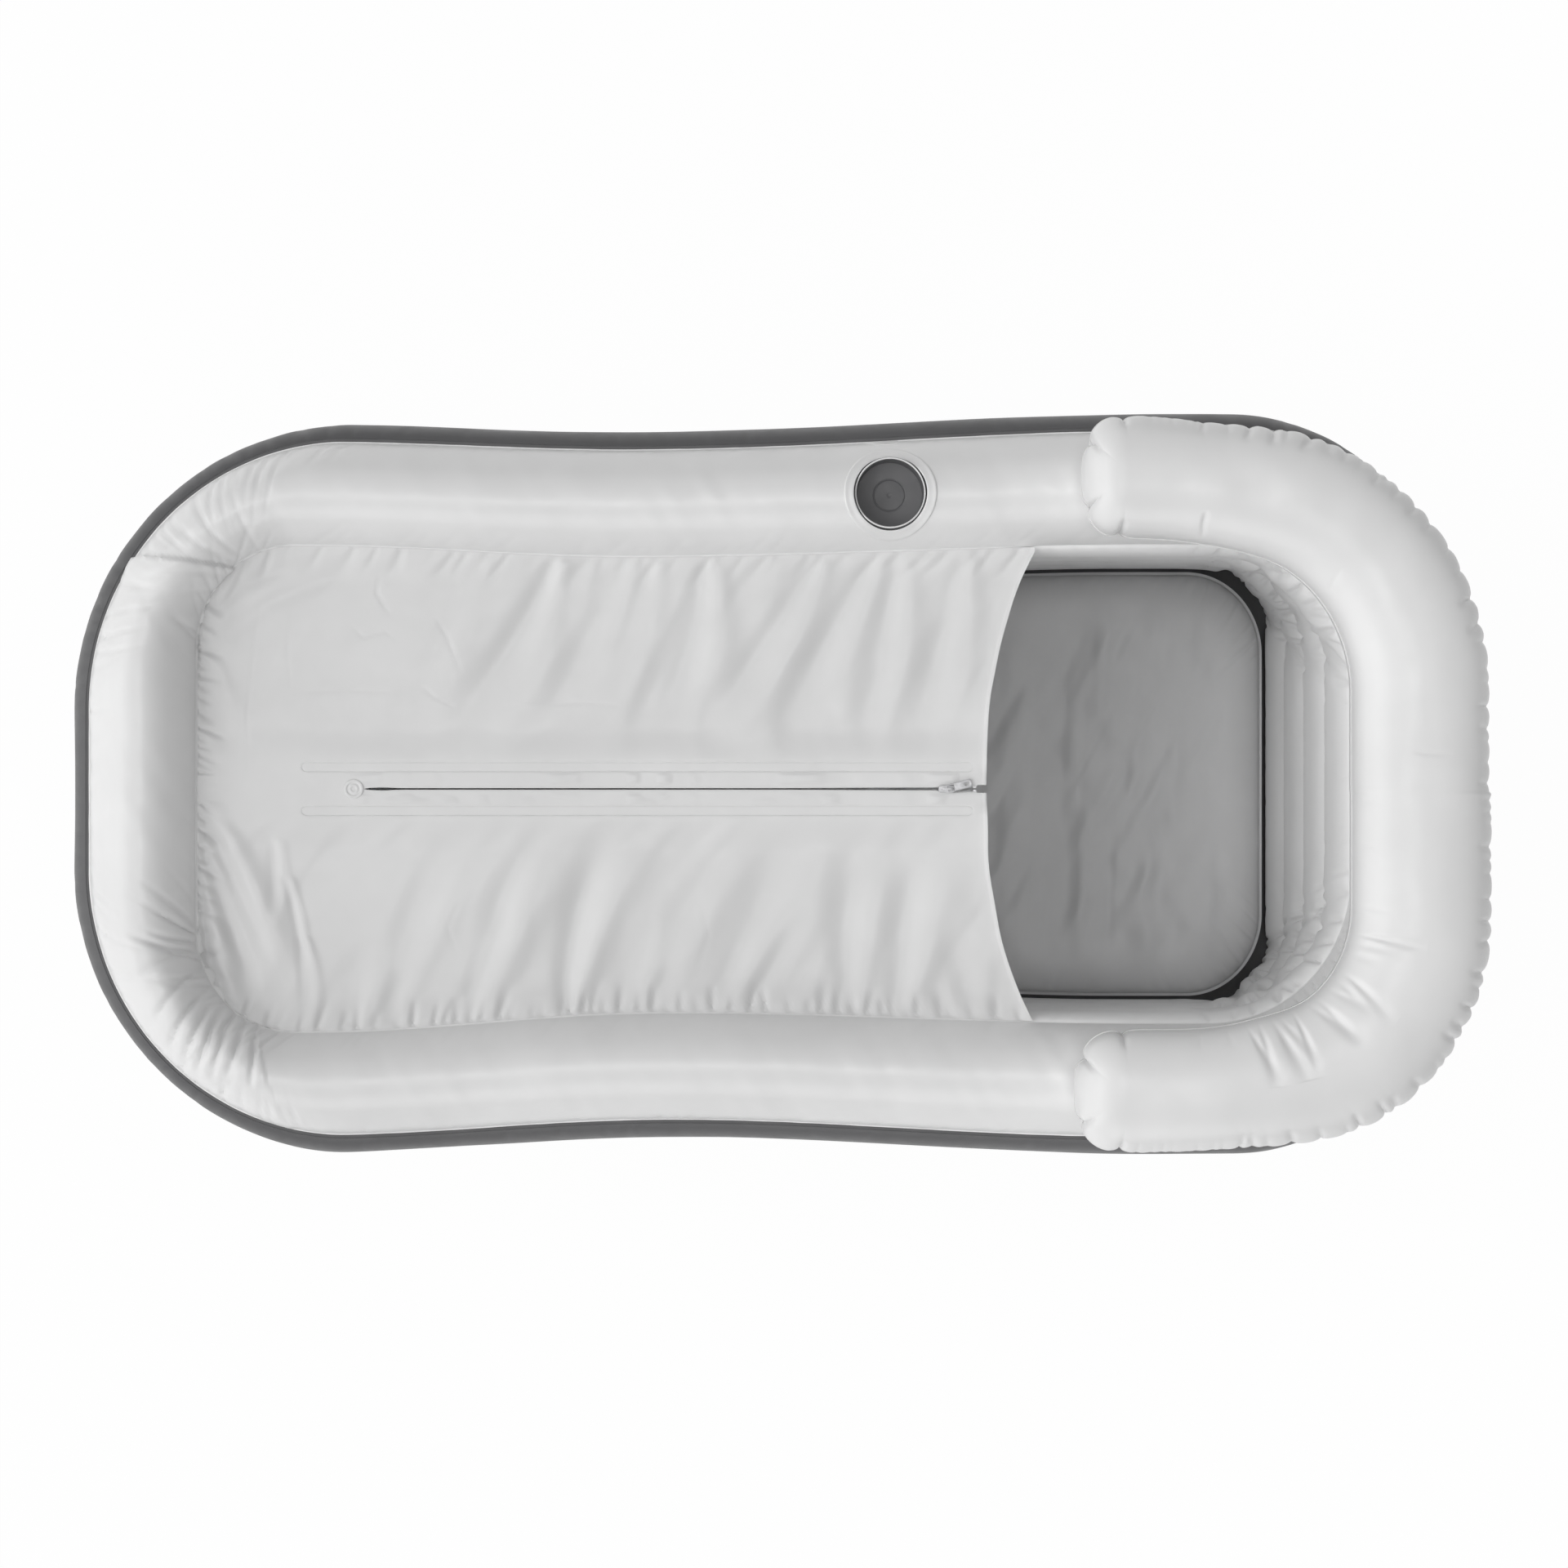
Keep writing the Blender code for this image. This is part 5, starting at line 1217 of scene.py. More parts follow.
def slit_half(x):
    """Half the slit's width: a lens by the stop disc, a thin line, and open past the slider."""
    lens = 0.0010 * np.exp(-((x + 0.418) / 0.012) ** 2)
    line = SLIT_HALF[0] + 0.0008 * smooth(x, 0.02, 0.19)
    return line + (SLIT_HALF[1] - SLIT_HALF[0]) * smooth(x, *SLIT_OPENS) + lens


def edge_rise(off, beside):
    """The sheet curls up a little toward its free edge, but not beside the zip, where the slider passes."""
    return 0.0045 * np.exp(-np.asarray(off) / 0.009) * smooth(np.abs(beside), 0.012, 0.032)


def soft_fold(x, y, fold):
    """A valley and the ridge beside it, leaving a weld narrow and widening inward."""
    knots = (fold.start, fold.bend, fold.end)
    level = np.clip(y, *sorted((fold.start[1], fold.end[1])))
    path = np.zeros(y.shape)
    for one in knots:
        part = np.full(y.shape, one[0])
        for other in knots:
            if other is not one:
                part = part * (level - other[1]) / (one[1] - other[1])
        path += part
    share = (y - fold.start[1]) / (fold.end[1] - fold.start[1])
    width = fold.narrow + (fold.wide - fold.narrow) * np.clip(share, 0, 1) ** 0.8
    fade = smooth(share, -0.01, 0.06) * (1 - smooth(share, 0.50, 1.05))
    off = (x - path) / width + 0.9
    profile = 0.75 * np.exp(-((off - 1.8) / 1.2) ** 2) - 0.75 * np.exp(-(off / 1.15) ** 2)
    return fold.steep * width * fade * profile


def cover_relief(x, y, seam_off, foot_off):
    """The sheet's rise over its flat level: sag, leaning folds and creases."""
    off = np.abs(y - ZIP_Y)
    loose = smooth(off, 0.030, 0.070) * smooth(seam_off, 0.0, 0.040) * smooth(foot_off, 0.0, 0.05)
    by_zip = 0.3 + 0.7 * smooth(off, 0.030, 0.055)
    held = by_zip * smooth(seam_off, 0.0, 0.010) * smooth(foot_off, 0.0, 0.010)
    field = -0.0030 * loose
    bend = 0.02 * grain(y / 0.11 + 5, x / 0.25, 60)
    field += 0.0014 * loose * folds(x + bend, y, 66, 0.060, 0.30, 61)
    field += 0.0007 * held * folds(x + bend, y, 64, 0.020, 0.12, 63)
    for start, turn, end, steep in SIDE_FOLDS:
        field += held * soft_fold(x, y, Fold(start, turn, end, 0.0056, 0.012 + 0.050 * steep, 0.80 * steep))
    for fold in FOOT_FOLDS:
        field += held * soft_fold(x, y, fold)
    for path, width, height in COVER_CREASES:
        field += height * held * crease(x, y, path, width)
    return field


def weld_puckers(x, y, seam_off, foot_off, hand):
    """Short leaning puckers along the side welds and ticks along the foot weld."""
    flat = np.array([0.0, 1.0])
    none = np.zeros(2)
    side = COVER_RIGHT_PUCKER if hand > 0 else COVER_LEFT_PUCKER
    places = [(where - 0.64, *rest) for where, *rest in pucker_places(70 + hand, flat, 1.0, none, side, side)]
    field = puckers(x[:, -1], seam_off.T, 5.0, places, 0.06).T
    foot = COVER_FOOT_PUCKER
    for where, length, width, depth, lean in pucker_places(75 + hand, flat, 0.62, none, foot, foot):
        reach = foot_off / length
        fade = np.clip(reach / 0.06, 0, 1) * (1 - smooth(reach, 0.25, 1.0))
        beside = y - (where - 0.31) - lean * foot_off
        field += depth * fade * np.exp(-(beside / (width * (0.6 + 0.9 * np.minimum(reach, 1)))) ** 2)
    return field


def cover_half(hand):
    """One half of the cover beside the zip, as a grid of columns from the foot and rows from the slit."""
    body = np.linspace(0, 1, COVER_COLUMNS - EDGE_COLUMNS) ** FOOT_CROWDING * (1 - EDGE_SHARE)
    share = np.concatenate([body, np.linspace(1 - EDGE_SHARE, 1, EDGE_COLUMNS + 1)[1:]])
    side_x = FREE_EDGE_X + EDGE_SWEEP
    foot_x = -COVER_EDGE.foot
    column_x = foot_x + (side_x - foot_x) * share
    half = half_width(COVER_EDGE, column_x)
    middle_x = foot_x + (FREE_EDGE_X - foot_x) * share
    slit = np.where(middle_x > SLIT_FOOT_X, slit_half(middle_x), 0.0)
    seam = hand * half + sway(column_x)
    start = ZIP_Y + hand * slit
    strip = ZIP_Y + hand * 0.034
    near = np.linspace(0, 1, ZIP_ROWS, endpoint=False)
    beside_strip = ZIP_Y + hand * np.array([STRIP_ROWS] * COVER_COLUMNS)
    far = np.linspace(0, 1, COVER_ROWS - ZIP_ROWS - len(STRIP_ROWS))
    y = np.concatenate([start[:, None] + (beside_strip[:, :1] - start[:, None]) * near, beside_strip,
                        strip + (seam - strip)[:, None] * far], 1)
    sweep = FREE_EDGE_X + EDGE_SWEEP * np.minimum(np.abs(y - ZIP_Y) / half[:, None], 1) ** EDGE_POWER
    x = foot_x + (np.minimum(sweep, side_x) - foot_x) * share[:, None]
    foot_off = x - foot_x
    edge_off = (1 - share)[:, None] * (side_x - foot_x)
    seam_off = np.abs(seam[:, None] - y)
    z = cover_relief(x, y, seam_off, foot_off)
    z -= weld_puckers(x, y, seam_off, foot_off, hand)
    off = np.abs(y - ZIP_Y)
    radius = STRIP_WIDTH / 2
    past_end = np.maximum(np.maximum(STRIP_ENDS[0] + radius - x, x - STRIP_ENDS[1] + radius), 0)
    trough = 1 - smooth(np.hypot(past_end, off - STRIP_OFFSET), 0.0040, 0.0057)
    z -= (STRIP_SINK + z) * trough
    beside_zip = smooth(off, 0.004, 0.009) * (1 - smooth(off, 0.015, 0.019))
    ruffle = np.maximum(0, grain(x / 0.017 + 30, y / 0.03 + 8, 65))
    z += 0.0014 * ruffle * beside_zip * smooth(x, -0.47, -0.43)
    top = 0.0002 + 0.0013 * smooth(off, 0.0050, 0.0090)
    z = np.where(off < 0.0165, np.clip(z, -0.0001, top), z)
    z += 0.0006 * np.exp(-((edge_off - 0.0022) / 0.0012) ** 2) + edge_rise(edge_off, off)
    x = x + 0.0011 * grain(y / 0.045 + 9, np.full(y.shape, 4.5), 66) * share[:, None] ** 30
    lip = np.exp(-((off - slit[:, None]) / 0.0012) ** 2) * (slit[:, None] > 0)
    z -= 0.0003 * lip
    return np.dstack([x, y, COVER_LEVEL + z]), middle_x


def make_cover(cover_white):
    """Both halves of the cover in one sheet, joined at the foot and open along the slit."""
    halves = [cover_half(hand) for hand in (-1, 1)]
    middle_x = halves[0][1]
    slit_column = int(np.argmax(middle_x > SLIT_FOOT_X))
    slit_column += -slit_column % COARSE
    points, faces = [], []
    for hand, (grid, _) in zip((-1, 1), halves):
        grid = grid.copy()
        grid[:slit_column + 1, 0, 1] = ZIP_Y
        grid[:slit_column + 1, 0, 2] = COVER_LEVEL
        front = grid if hand > 0 else grid[:, ::-1]
        behind = front[::COARSE, ::COARSE].copy()
        deep = np.full(behind.shape[:2], 0.0020)
        deep[0] = deep[-1] = deep[:, 0] = deep[:, -1] = SHEET
        deep[np.abs(behind[..., 1] - ZIP_Y) < 0.017] = SHEET
        behind[..., 2] -= deep
        rows, columns = front.shape[:2]
        first = len(points)
        ids, quads = sheet_faces(rows, columns, False, first)
        back, back_quads = sheet_faces(*behind.shape[:2], False, first + rows * columns)
        middle = 0 if hand > 0 else -1
        faces += quads[:, ::-1].tolist() + back_quads.tolist()
        faces += border(ids[0].tolist(), back[0].tolist())
        faces += border(ids[-1].tolist(), back[-1].tolist())
        faces += border(ids[:, -1 - middle].tolist(), back[:, -1 - middle].tolist())
        faces += border(ids[slit_column:, middle].tolist(), back[slit_column // COARSE:, middle].tolist())
        points += front.reshape(-1, 3).tolist() + behind.reshape(-1, 3).tolist()
    return add_piece("cover_cloth", points, faces, cover_white, stands_for=["cover_sheet"], slot="cover_pvc",
                     merge=2e-6)


def make_strips(cover_white):
    """The two long weld strips beside the slit: shallow channels with rounded ends."""
    radius = STRIP_WIDTH / 2
    ends = radius * (1 - np.cos(np.linspace(0.02, np.pi / 2, 9)))
    straight = np.linspace(STRIP_ENDS[0] + radius, STRIP_ENDS[1] - radius, 150)[1:-1]
    x = np.concatenate([STRIP_ENDS[0] + ends, straight, STRIP_ENDS[1] - ends[::-1]])
    from_end = np.minimum(x - STRIP_ENDS[0], STRIP_ENDS[1] - x)
    width = np.sqrt(np.maximum(radius ** 2 - np.maximum(radius - from_end, 0) ** 2, 0)) / radius
    strips = []
    for side, hand in (("left", -1), ("right", 1)):
        y = ZIP_Y + hand * STRIP_OFFSET
        rise = edge_rise(FREE_EDGE_X - x, y - ZIP_Y)
        level = COVER_LEVEL - STRIP_SINK
        loops = np.array([[(sx, y + STRIP_WIDTH * across * w, level + STRIP_THICK * high + up)
                           for across, high in STRIP_SECTION] for sx, w, up in zip(x, width, rise)])
        strips.append(tube(f"weld_strip_{side}", loops, cover_white, stands_for=[f"cover_weld_strip_{side}"],
                           slot="cover_pvc", sharp=60))
    return strips


def make_disc(cover_white):
    """The pressed round weld that stops the slit, with its rings."""
    place = Matrix.Translation((STOP_DISC_X, ZIP_Y, COVER_LEVEL + 0.0003))
    profile = eased([(0, 0), (0.0110, 0), (0.0110, 0.0009), (0.0098, 0.0013), (0.0082, 0.0013),
                     (0.0072, 0.0006), (0.0058, 0.0006), (0.0048, 0.0011), (0.0034, 0.0011), (0.0022, 0.0006),
                     (0, 0.0005)], 0.0004)
    return turned("slit_stop_disc", profile, place, 64, cover_white, stands_for=["slit_end_disc"],
                  slot="cover_pvc")


# Zip

def make_tapes(tape):
    """Woven tapes welded under the sheet, with a corded edge along the coil."""
    x = np.linspace(*TAPE_ENDS, 240)
    for side, hand in (("left", -1), ("right", 1)):
        inner, outer = (ZIP_Y + hand * o for o in TAPE_OFFSETS)
        fray = 0.0001 * grain(x / 0.004, np.zeros(len(x)), 90 + hand)
        loops = np.array([[(sx, inner + (outer - inner + hand * f) * a, TAPE_TOP - TAPE_THICK * d)
                           for a, d in TAPE_SECTION] for sx, f in zip(x, fray)])
        tube(f"tape_{side}", loops, tape, stands_for=[f"zip_tape_{side}"], slot="zip_tape")


def coil_tree():
    """Geometry nodes that lay wire turns side by side along a line."""
    tree = bpy.data.node_groups.new("zip coil turns", "GeometryNodeTree")
    face = tree.interface
    sockets = {name: face.new_socket(name, in_out="INPUT", socket_type=f"NodeSocket{kind}").identifier
               for name, kind in COIL_INPUTS.items()}
    face.new_socket("Geometry", in_out="OUTPUT", socket_type="NodeSocketGeometry")
    given = add_node(tree, "NodeGroupInput")
    step = add_node(tree, "ShaderNodeCombineXYZ", feeds={"X": given.outputs["Pitch"]})
    line = add_node(tree, "GeometryNodeMeshLine", feeds={
        "Count": given.outputs["Turns"], "Start Location": given.outputs["Start"], "Offset": step.outputs[0]})
    turn = add_node(tree, "GeometryNodeCurvePrimitiveCircle", {"Resolution": 9, "Radius": 1.0})
    size = add_node(tree, "ShaderNodeCombineXYZ", {"Z": 1.0},
                    {"X": given.outputs["Width"], "Y": given.outputs["Height"]})
    shape = add_node(tree, "GeometryNodeTransform",
                     feeds={"Geometry": turn.outputs["Curve"], "Scale": size.outputs[0]})
    wire = add_node(tree, "GeometryNodeCurvePrimitiveCircle", {"Resolution": 5},
                    {"Radius": given.outputs["Wire"]})
    solid = add_node(tree, "GeometryNodeCurveToMesh",
                     feeds={"Curve": shape.outputs[0], "Profile Curve": wire.outputs["Curve"]})
    stand = add_node(tree, "GeometryNodeTransform", {"Rotation": (math.pi / 2, 0, math.pi / 2)},
                     {"Geometry": solid.outputs[0]})
    jitter = add_node(tree, "FunctionNodeRandomValue", feeds={"Seed": given.outputs["Seed"]},
                      data_type="FLOAT")
    low, high = (one for one in jitter.inputs if one.name in ("Min", "Max") and one.type == "VALUE")
    low.default_value, high.default_value = -TURN_JITTER, TURN_JITTER
    sway_by = next(one for one in jitter.outputs if one.type == "VALUE")
    lean = add_node(tree, "ShaderNodeMath", feeds={0: sway_by, 1: given.outputs["Lean"]})
    turned_by = add_node(tree, "ShaderNodeCombineXYZ", feeds={"Z": lean.outputs[0]})
    spread = add_node(tree, "GeometryNodeInstanceOnPoints", feeds={
        "Points": line.outputs["Mesh"], "Instance": stand.outputs[0], "Rotation": turned_by.outputs[0]})
    real = add_node(tree, "GeometryNodeRealizeInstances", feeds={"Geometry": spread.outputs[0]})
    finish = add_node(tree, "GeometryNodeSetMaterial",
                      feeds={"Geometry": real.outputs[0], "Material": given.outputs["Finish"]})
    add_node(tree, "NodeGroupOutput", feeds={"Geometry": finish.outputs[0]})
    return tree, sockets


def make_coils(plastic):
    """The two coils as rows of wire turns, their heads facing each other at the slit."""
    tree, sockets = coil_tree()
    for side, hand in (("left", -1), ("right", 1)):
        holder = placed("coil holder", bpy.data.meshes.new("coil holder"))
        grow = holder.modifiers.new("turns", "NODES")
        grow.node_group = tree
        half_pitch = TURN_PITCH / 2 if hand > 0 else 0.0
        start = (TURN_START_X + half_pitch, ZIP_Y + hand * TURN_OFFSET, TAPE_TOP - TURN_DROP)
        values = {"Start": start, "Pitch": TURN_PITCH, "Turns": TURNS, "Width": TURN_SIZE[0],
                  "Height": TURN_SIZE[1], "Wire": WIRE_RADIUS, "Lean": TURN_LEAN * hand, "Seed": 5 + hand,
                  "Finish": plastic}
        for name, value in values.items():
            grow[sockets[name]] = value
        evaluated = holder.evaluated_get(bpy.context.evaluated_depsgraph_get())
        mesh = bpy.data.meshes.new_from_object(evaluated)
        bpy.data.objects.remove(holder)
        dress_piece(f"coil_turns_{side}", mesh, plastic, stands_for=[f"zip_coil_{side}"], slot="zip_plastic")


def make_slider(metal):
    """The slider's two plates and neck, its bridge and the pull tab."""
    facts = {"body": "slider", "slot": "zip_metal"}
    length, half_wide, thick = SLIDER_PLATE
    shield = []
    for angle in np.linspace(0, 2 * np.pi, 40, endpoint=False):
        cos, sin = math.cos(angle), math.sin(angle)
        wide = half_wide if cos < 0.3 else half_wide - 0.0009 * (cos - 0.3)
        shield.append((length * math.copysign(abs(cos) ** 0.55, cos),
                       wide * math.copysign(abs(sin) ** 0.55, sin)))
    top = Matrix.Translation((SLIDER_X, ZIP_Y, SLIDER_TOP - 0.0006))
    plate("slider_top_plate", [shield], thick, 0.0004, top, metal, stands_for=["zip_slider"], **facts)
    under = Matrix.Translation((SLIDER_X, ZIP_Y, SLIDER_UNDER_LEVEL))
    plate("slider_under_plate", [shield], thick, 0.0004, under, metal, **facts)
    neck = [(-0.0045, 0.0005), (-0.0045, -0.0005), (0.0065, -0.0005), (0.0085, 0.0), (0.0065, 0.0005)]
    between = Matrix.Translation((SLIDER_X, ZIP_Y, SLIDER_NECK_LEVEL))
    plate("slider_neck", [neck[::-1]], 0.0046, 0.0001, between, metal, **facts)
    arch = eased([(-0.0063, 0), (-0.0060, 0.0030), (-0.0038, 0.0036), (0.0038, 0.0036), (0.0060, 0.0030),
                  (0.0063, 0), (0.0052, 0), (0.0049, 0.0021), (0.0036, 0.0025), (-0.0036, 0.0025),
                  (-0.0049, 0.0021), (-0.0052, 0)], 0.0008, closed=True)
    over = Matrix.Translation((SLIDER_X, ZIP_Y, SLIDER_TOP + 0.0003))
    upright = over @ Matrix.Rotation(math.pi / 2, 4, "X")
    plate("slider_arch", [[(x, z) for x, z in arch]], 0.0024, 0.0003, upright, metal,
          stands_for=["zip_slider_bridge"], **facts)
    make_pull(metal)


def make_pull(metal):
    """The pull tab: narrower at the slider, with an eye for the bridge and a hole to grip."""
    length, wide, thick = PULL_SIZE
    half = thick / 2
    spot = Matrix.Translation((SLIDER_X, ZIP_Y, PULL_LEVEL))
    place = spot @ Matrix.Rotation(math.radians(PULL_TURN), 4, "Z")
    tab = rounded_box(-half, length - half, -wide / 2, wide / 2, 0.0026)
    tab = [(x, y) if x > 0.004 else (x, y * (0.86 + 0.035 * x / 0.001)) for x, y in tab]
    eye = rounded_box(half, half + 0.0072, -0.0033, 0.0033, 0.0012)[::-1]
    grip = rounded_box(length - half - 0.0082, length - half - 0.0032, -0.0020, 0.0020, 0.0012)[::-1]
    plate("pull_tab", [tab, eye, grip], thick, 0.0004, place, metal, body="pull", stands_for=["zip_pull"],
          slot="zip_metal")


# Cup holder

def make_cup(dark, white):
    """A pocket welded into the rim: pale sloping wall, dark floor with a pressed ring, weld collar."""
    place = Matrix.Translation((*CUP_SPOT, 0))
    floor = CUP_FLOOR_LEVEL
    lip = CUP_BEND_LEVEL + 0.0022
    pocket = eased([(0, floor), (0.0372, floor), (0.0396, lip - 0.006), (0.0396, lip - 0.002),
                    (0.0386, lip - 0.002), (0.0366, floor + 0.0012), (0.0185, floor + 0.0012),
                    (0.0175, floor + 0.0007),
                    (0.0165, floor + 0.0012), (0.0030, floor + 0.0012), (0, floor + 0.0007)], 0.0007)
    turned("cup_floor", pocket, place, 96, dark, stands_for=["cup_pocket"], slot="cup_pvc")
    wall = eased([(0.0374, lip - 0.0034), (0.0392, lip - 0.0034), (0.0392, lip - 0.0008),
                  (0.0386, lip - 0.0002), (0.0380, lip - 0.0002), (0.0374, lip - 0.0010)],
                 0.0004, closed=True)
    turned("cup_wall", wall, place, 96, white, closed=True, slot="white_pvc")
    make_collar(white)


def make_collar(white):
    """The weld ring that holds the pocket, lying on the rim's own curve."""
    calm = rim_calm()
    _, quads = sheet_faces(*calm.shape[:2], True)
    tree = BVHTree.FromPolygons(calm.reshape(-1, 3).tolist(), quads.tolist())
    turn = np.linspace(0, 2 * np.pi, 192, endpoint=False)
    points = np.zeros((len(COLLAR_SECTION) + 1, len(turn), 3))
    for row, (radius, high) in enumerate(COLLAR_SECTION):
        for column, angle in enumerate(turn):
            x, y = CUP_SPOT[0] + radius * math.cos(angle), CUP_SPOT[1] + radius * math.sin(angle)
            reach = max(radius, 0.0412)
            rx, ry = CUP_SPOT[0] + reach * math.cos(angle), CUP_SPOT[1] + reach * math.sin(angle)
            hit = tree.ray_cast(Vector((rx, ry, 1.0)), Vector((0, 0, -1)))[0]
            points[row, column] = (x, y, hit.z + COLLAR_CLEAR + high)
    points[-1] = points[0]
    points[-1, :, 2] -= COLLAR_CLEAR
    loops = np.concatenate([points, points[:1]])
    _, quads = sheet_faces(len(loops), len(turn), True)
    add_piece("cup_weld_ring", loops.reshape(-1, 3), quads.tolist(), white, stands_for=["cup_collar"],
              slot="white_pvc", merge=1e-6, sharp=60)


# Valves and drain

def drain_inside():
    """Where the drain's inner flange sits in the well, facing the bather."""
    return frame_at(DRAIN_INSIDE_SPOT, (1, 0, 0), (0, 0, 1))


def fittings():
    """The three air valves and the drain's outer side."""
    wall = frame_at(WALL_VALVE_SPOT, (1, 0, 0), (0, 0, 1))
    pad = frame_at((PAD_VALVE_X, 0, PAD_TOP), (0, 0, 1), (1, 0, 0))
    rest = frame_at(REST_VALVE_SPOT, REST_VALVE_FACING, (0, 0, 1))
    drain = frame_at(DRAIN_OUTSIDE_SPOT, (-1, 0, 0), (0, 0, 1))
    return (Valve("wall_valve", wall, *WALL_VALVE_SIZES, "wall_valve_base", "wall_valve_cap", "wall_cap",
                  "clear_pvc"),
            Valve("pad_valve", pad, *CUSHION_VALVE_SIZES, "pad_valve_base", "pad_valve_cap", "pad_cap",
                  "clear_pvc"),
            Valve("headrest_valve", rest, *CUSHION_VALVE_SIZES, "headrest_valve_base", "headrest_valve_cap",
                  "headrest_cap", "clear_pvc"),
            Valve("drain", drain, *DRAIN_SIZES, "drain_outer_flange", "drain_cap", "drain_outer_cap",
                  "dark_pvc"))


def flange_profile(flange, stem, bore, depth):
    """A stem through the sheet and a thin round flange with two pressed weld rings."""
    high = 0.0015
    return eased([(bore, -depth), (stem, -depth), (stem, 0.0003), (flange, 0.0003), (flange, high - 0.0004),
                  (flange * 0.90, high - 0.0004), (flange * 0.88, high - 0.0007),
                  (flange * 0.84, high - 0.0007),
                  (flange * 0.82, high), (flange * 0.72, high), (flange * 0.70, high - 0.0004),
                  (bore * 1.35, high - 0.0003), (bore * 1.25, high), (bore, high)], 0.0003, closed=True)


def make_fittings(clear, dark):
    """Each fitting's flange and cap, and the drain's inner flange with its plug."""
    for valve in fittings():
        finish = dark if valve.slot == "dark_pvc" else clear
        turned(f"{valve.name}_seat", flange_profile(valve.flange, valve.stem, valve.bore, valve.depth),
               valve.place, 72, finish, closed=True, stands_for=[valve.base], slot=valve.slot)
        make_cap(valve, finish)
    inside = drain_inside()
    turned("drain_inner_seat", flange_profile(*DRAIN_SIZES), inside, 72, clear, closed=True,
           stands_for=["drain_inner_flange"], slot="clear_pvc")
    seat = 0.0018
    plug = eased([(0, -0.012), (0.0078, -0.012), (0.0085, -0.0112), (0.0098, seat), (0.0155, seat),
                  (0.0155, seat + 0.0022), (0.0146, seat + 0.003), (0.0120, seat + 0.003),
                  (0.0110, seat + 0.0018), (0.0040, seat + 0.0018), (0.0034, seat + 0.003),
                  (0, seat + 0.003)], 0.0006)
    turned("drain_stopper_plug", plug, inside, 72, dark, body="drain_stopper", stands_for=["drain_plug"],
           slot="dark_pvc")


def make_cap(valve, finish):
    """A round cap with a dished top, a plug in the bore, and a strap to its bending line."""
    low = 0.0018
    radius = valve.bore + 0.0022
    half_strap = valve.bore * 0.75
    start = math.asin(half_strap / radius)
    outline = [(valve.flange * 0.90, -half_strap * 0.8), (valve.flange * 0.90, half_strap * 0.8)]
    turn = np.linspace(start, 2 * math.pi - start, 44)
    outline += [(radius * math.cos(a), radius * math.sin(a)) for a in turn]
    lid = valve.place @ Matrix.Translation((0, 0, low + 0.00075))
    plate(f"{valve.name}_lid", [outline], 0.0015, 0.0004, lid, finish, body=valve.body,
          stands_for=[valve.cap], slot=valve.slot)
    deep = low - valve.bore * 0.42
    plug = eased([(0, deep), (valve.bore * 0.60, deep), (valve.bore * 0.84, low - 0.0003),
                  (valve.bore * 0.84, low + 0.0005), (0, low + 0.0005)], 0.0005)
    turned(f"{valve.name}_lid_plug", plug, valve.place, 48, finish, body=valve.body, slot=valve.slot)
    rim = valve.bore * 0.9
    ring = eased([(rim * 0.62, low + 0.0014), (rim, low + 0.0014), (rim, low + 0.0019),
                  (rim * 0.92, low + 0.0021), (rim * 0.72, low + 0.0021), (rim * 0.62, low + 0.0017)],
                 0.0003, closed=True)
    turned(f"{valve.name}_lid_ring", ring, valve.place, 48, finish, closed=True, body=valve.body,
           slot=valve.slot)


# Stage and light

def make_stage():
    """A plain pale floor that shows white to the camera and keeps the tub's soft shadow."""
    mesh = bpy.data.meshes.new("floor")
    corners = ((-1, -1), (1, -1), (1, 1), (-1, 1))
    mesh.from_pydata([(FLOOR_HALF * x, FLOOR_HALF * y, FLOOR_LEVEL) for x, y in corners], [], [(0, 1, 2, 3)])
    material = bpy.data.materials.new("pale floor")
    material.use_nodes = True
    tree = material.node_tree
    tree.nodes.clear()
    paint = add_node(tree, "ShaderNodeBsdfDiffuse", {"Color": FLOOR_PAINT})
    glow = add_node(tree, "ShaderNodeEmission", {"Strength": 1.0})
    rays = add_node(tree, "ShaderNodeLightPath")
    seen = add_node(tree, "ShaderNodeMath", operation="MAXIMUM",
                    feeds={0: rays.outputs["Is Camera Ray"], 1: rays.outputs["Is Glossy Ray"]})
    through = add_node(tree, "ShaderNodeMath", operation="MAXIMUM",
                       feeds={0: seen.outputs[0], 1: rays.outputs["Is Transmission Ray"]})
    part = add_node(tree, "ShaderNodeMath", {1: FLOOR_GLOW}, {0: through.outputs[0]}, operation="MULTIPLY")
    blend = add_node(tree, "ShaderNodeMixShader", feeds={"Fac": part.outputs[0], 1: paint.outputs[0],
                                                         2: glow.outputs[0]})
    add_node(tree, "ShaderNodeOutputMaterial", feeds={"Surface": blend.outputs[0]})
    mesh.materials.append(material)
    placed("floor", mesh)


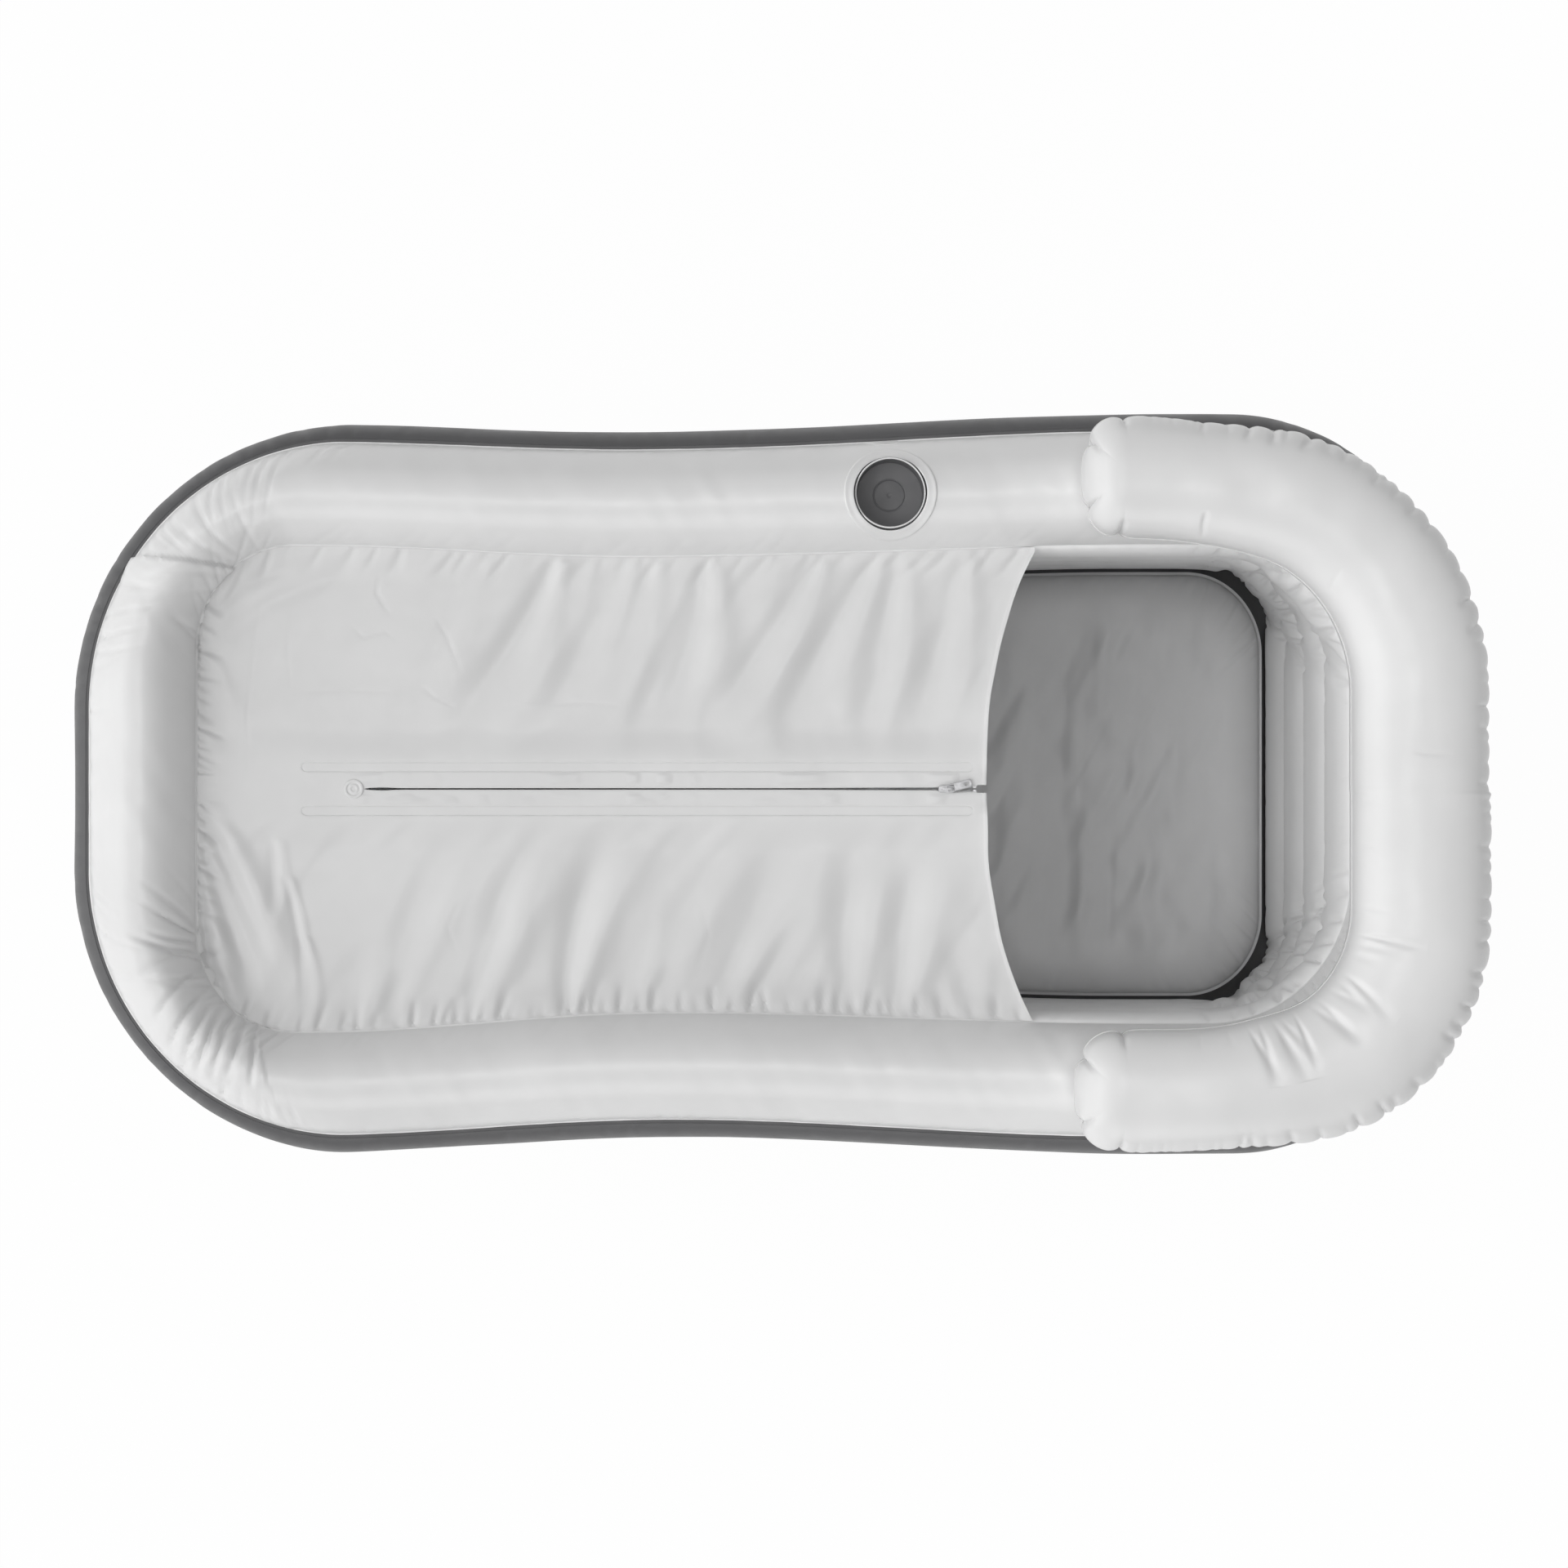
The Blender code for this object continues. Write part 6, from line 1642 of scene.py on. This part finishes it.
def light_scene():
    """An even white surround with the soft lamps, white to the camera."""
    world = bpy.data.worlds.new("studio")
    bpy.context.scene.world = world
    world.use_nodes = True
    tree = world.node_tree
    tree.nodes.clear()
    rays = add_node(tree, "ShaderNodeLightPath")
    fill = add_node(tree, "ShaderNodeBackground", {"Strength": FILL_LIGHT, "Color": (1, 1, 1, 1)})
    white = add_node(tree, "ShaderNodeBackground", {"Strength": 1.0, "Color": (1, 1, 1, 1)})
    blend = add_node(tree, "ShaderNodeMixShader", feeds={"Fac": rays.outputs["Is Camera Ray"],
                                                         1: fill.outputs[0], 2: white.outputs[0]})
    add_node(tree, "ShaderNodeOutputWorld", feeds={"Surface": blend.outputs[0]})
    for name, energy, spread, toward in LAMPS:
        lamp = bpy.data.lights.new(name, "SUN")
        lamp.energy = energy
        lamp.angle = math.radians(spread)
        placed(name, lamp).rotation_euler = Vector(toward).to_track_quat("Z", "Y").to_euler()


def finish_frame_nodes(dark, clear, metal):
    """The frame's own solids that keep their shape get the real finishes."""
    kept = {"wall_valve_flap": clear, "drain_tube": dark, "zip_top_stop_left": metal,
            "zip_top_stop_right": metal, "zip_bottom_stop": metal}
    for name, material in kept.items():
        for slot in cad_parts[name].material_slots:
            slot.material = material


def main():
    """Every piece from the ground up, then the stage and the light."""
    place_camera()
    white = vinyl("white PVC", WHITE, 0.36, 0.12)
    cover_white = vinyl("cover PVC", COVER_WHITE, 0.40, 0.08)
    dark = vinyl("dark grey PVC", DARK_GREY, 0.46, 0.05)
    # The floor cushion's finish is lightened past its own grey, painted light for the dim well it lies in
    grey = vinyl("pad grey PVC with painted light", PAD_GREY_PAINTED_LIGHT, 0.50, 0.0, 0.0005)
    cup_dark = vinyl("cup PVC", CUP_GREY, 0.42, 0.05, 0.0002)
    clear, tape, plastic, metal = clear_pvc(), woven_tape(), coil_plastic(), plated_metal()
    finish_frame_nodes(dark, clear, metal)
    make_base(dark)
    make_outer_wall(dark)
    # The well's wall gets the lighter copy of the white PVC, painted light standing in for the light inside
    # the deep well
    make_inner_wall(vinyl("well PVC with painted light", WELL_WHITE_PAINTED_LIGHT, 0.38, 0.10))
    make_webs(white)
    rim = make_rim(white)
    make_floor_pad(grey)
    make_headrest(white, rim)
    cover = make_cover(cover_white)
    strips = make_strips(cover_white)
    disc = make_disc(cover_white)
    make_tapes(tape)
    make_coils(plastic)
    make_slider(metal)
    make_cup(cup_dark, white)
    make_fittings(clear, dark)
    make_stage()
    light_scene()


main()
scene = bpy.context.scene
scene.view_settings.view_transform = "Standard"
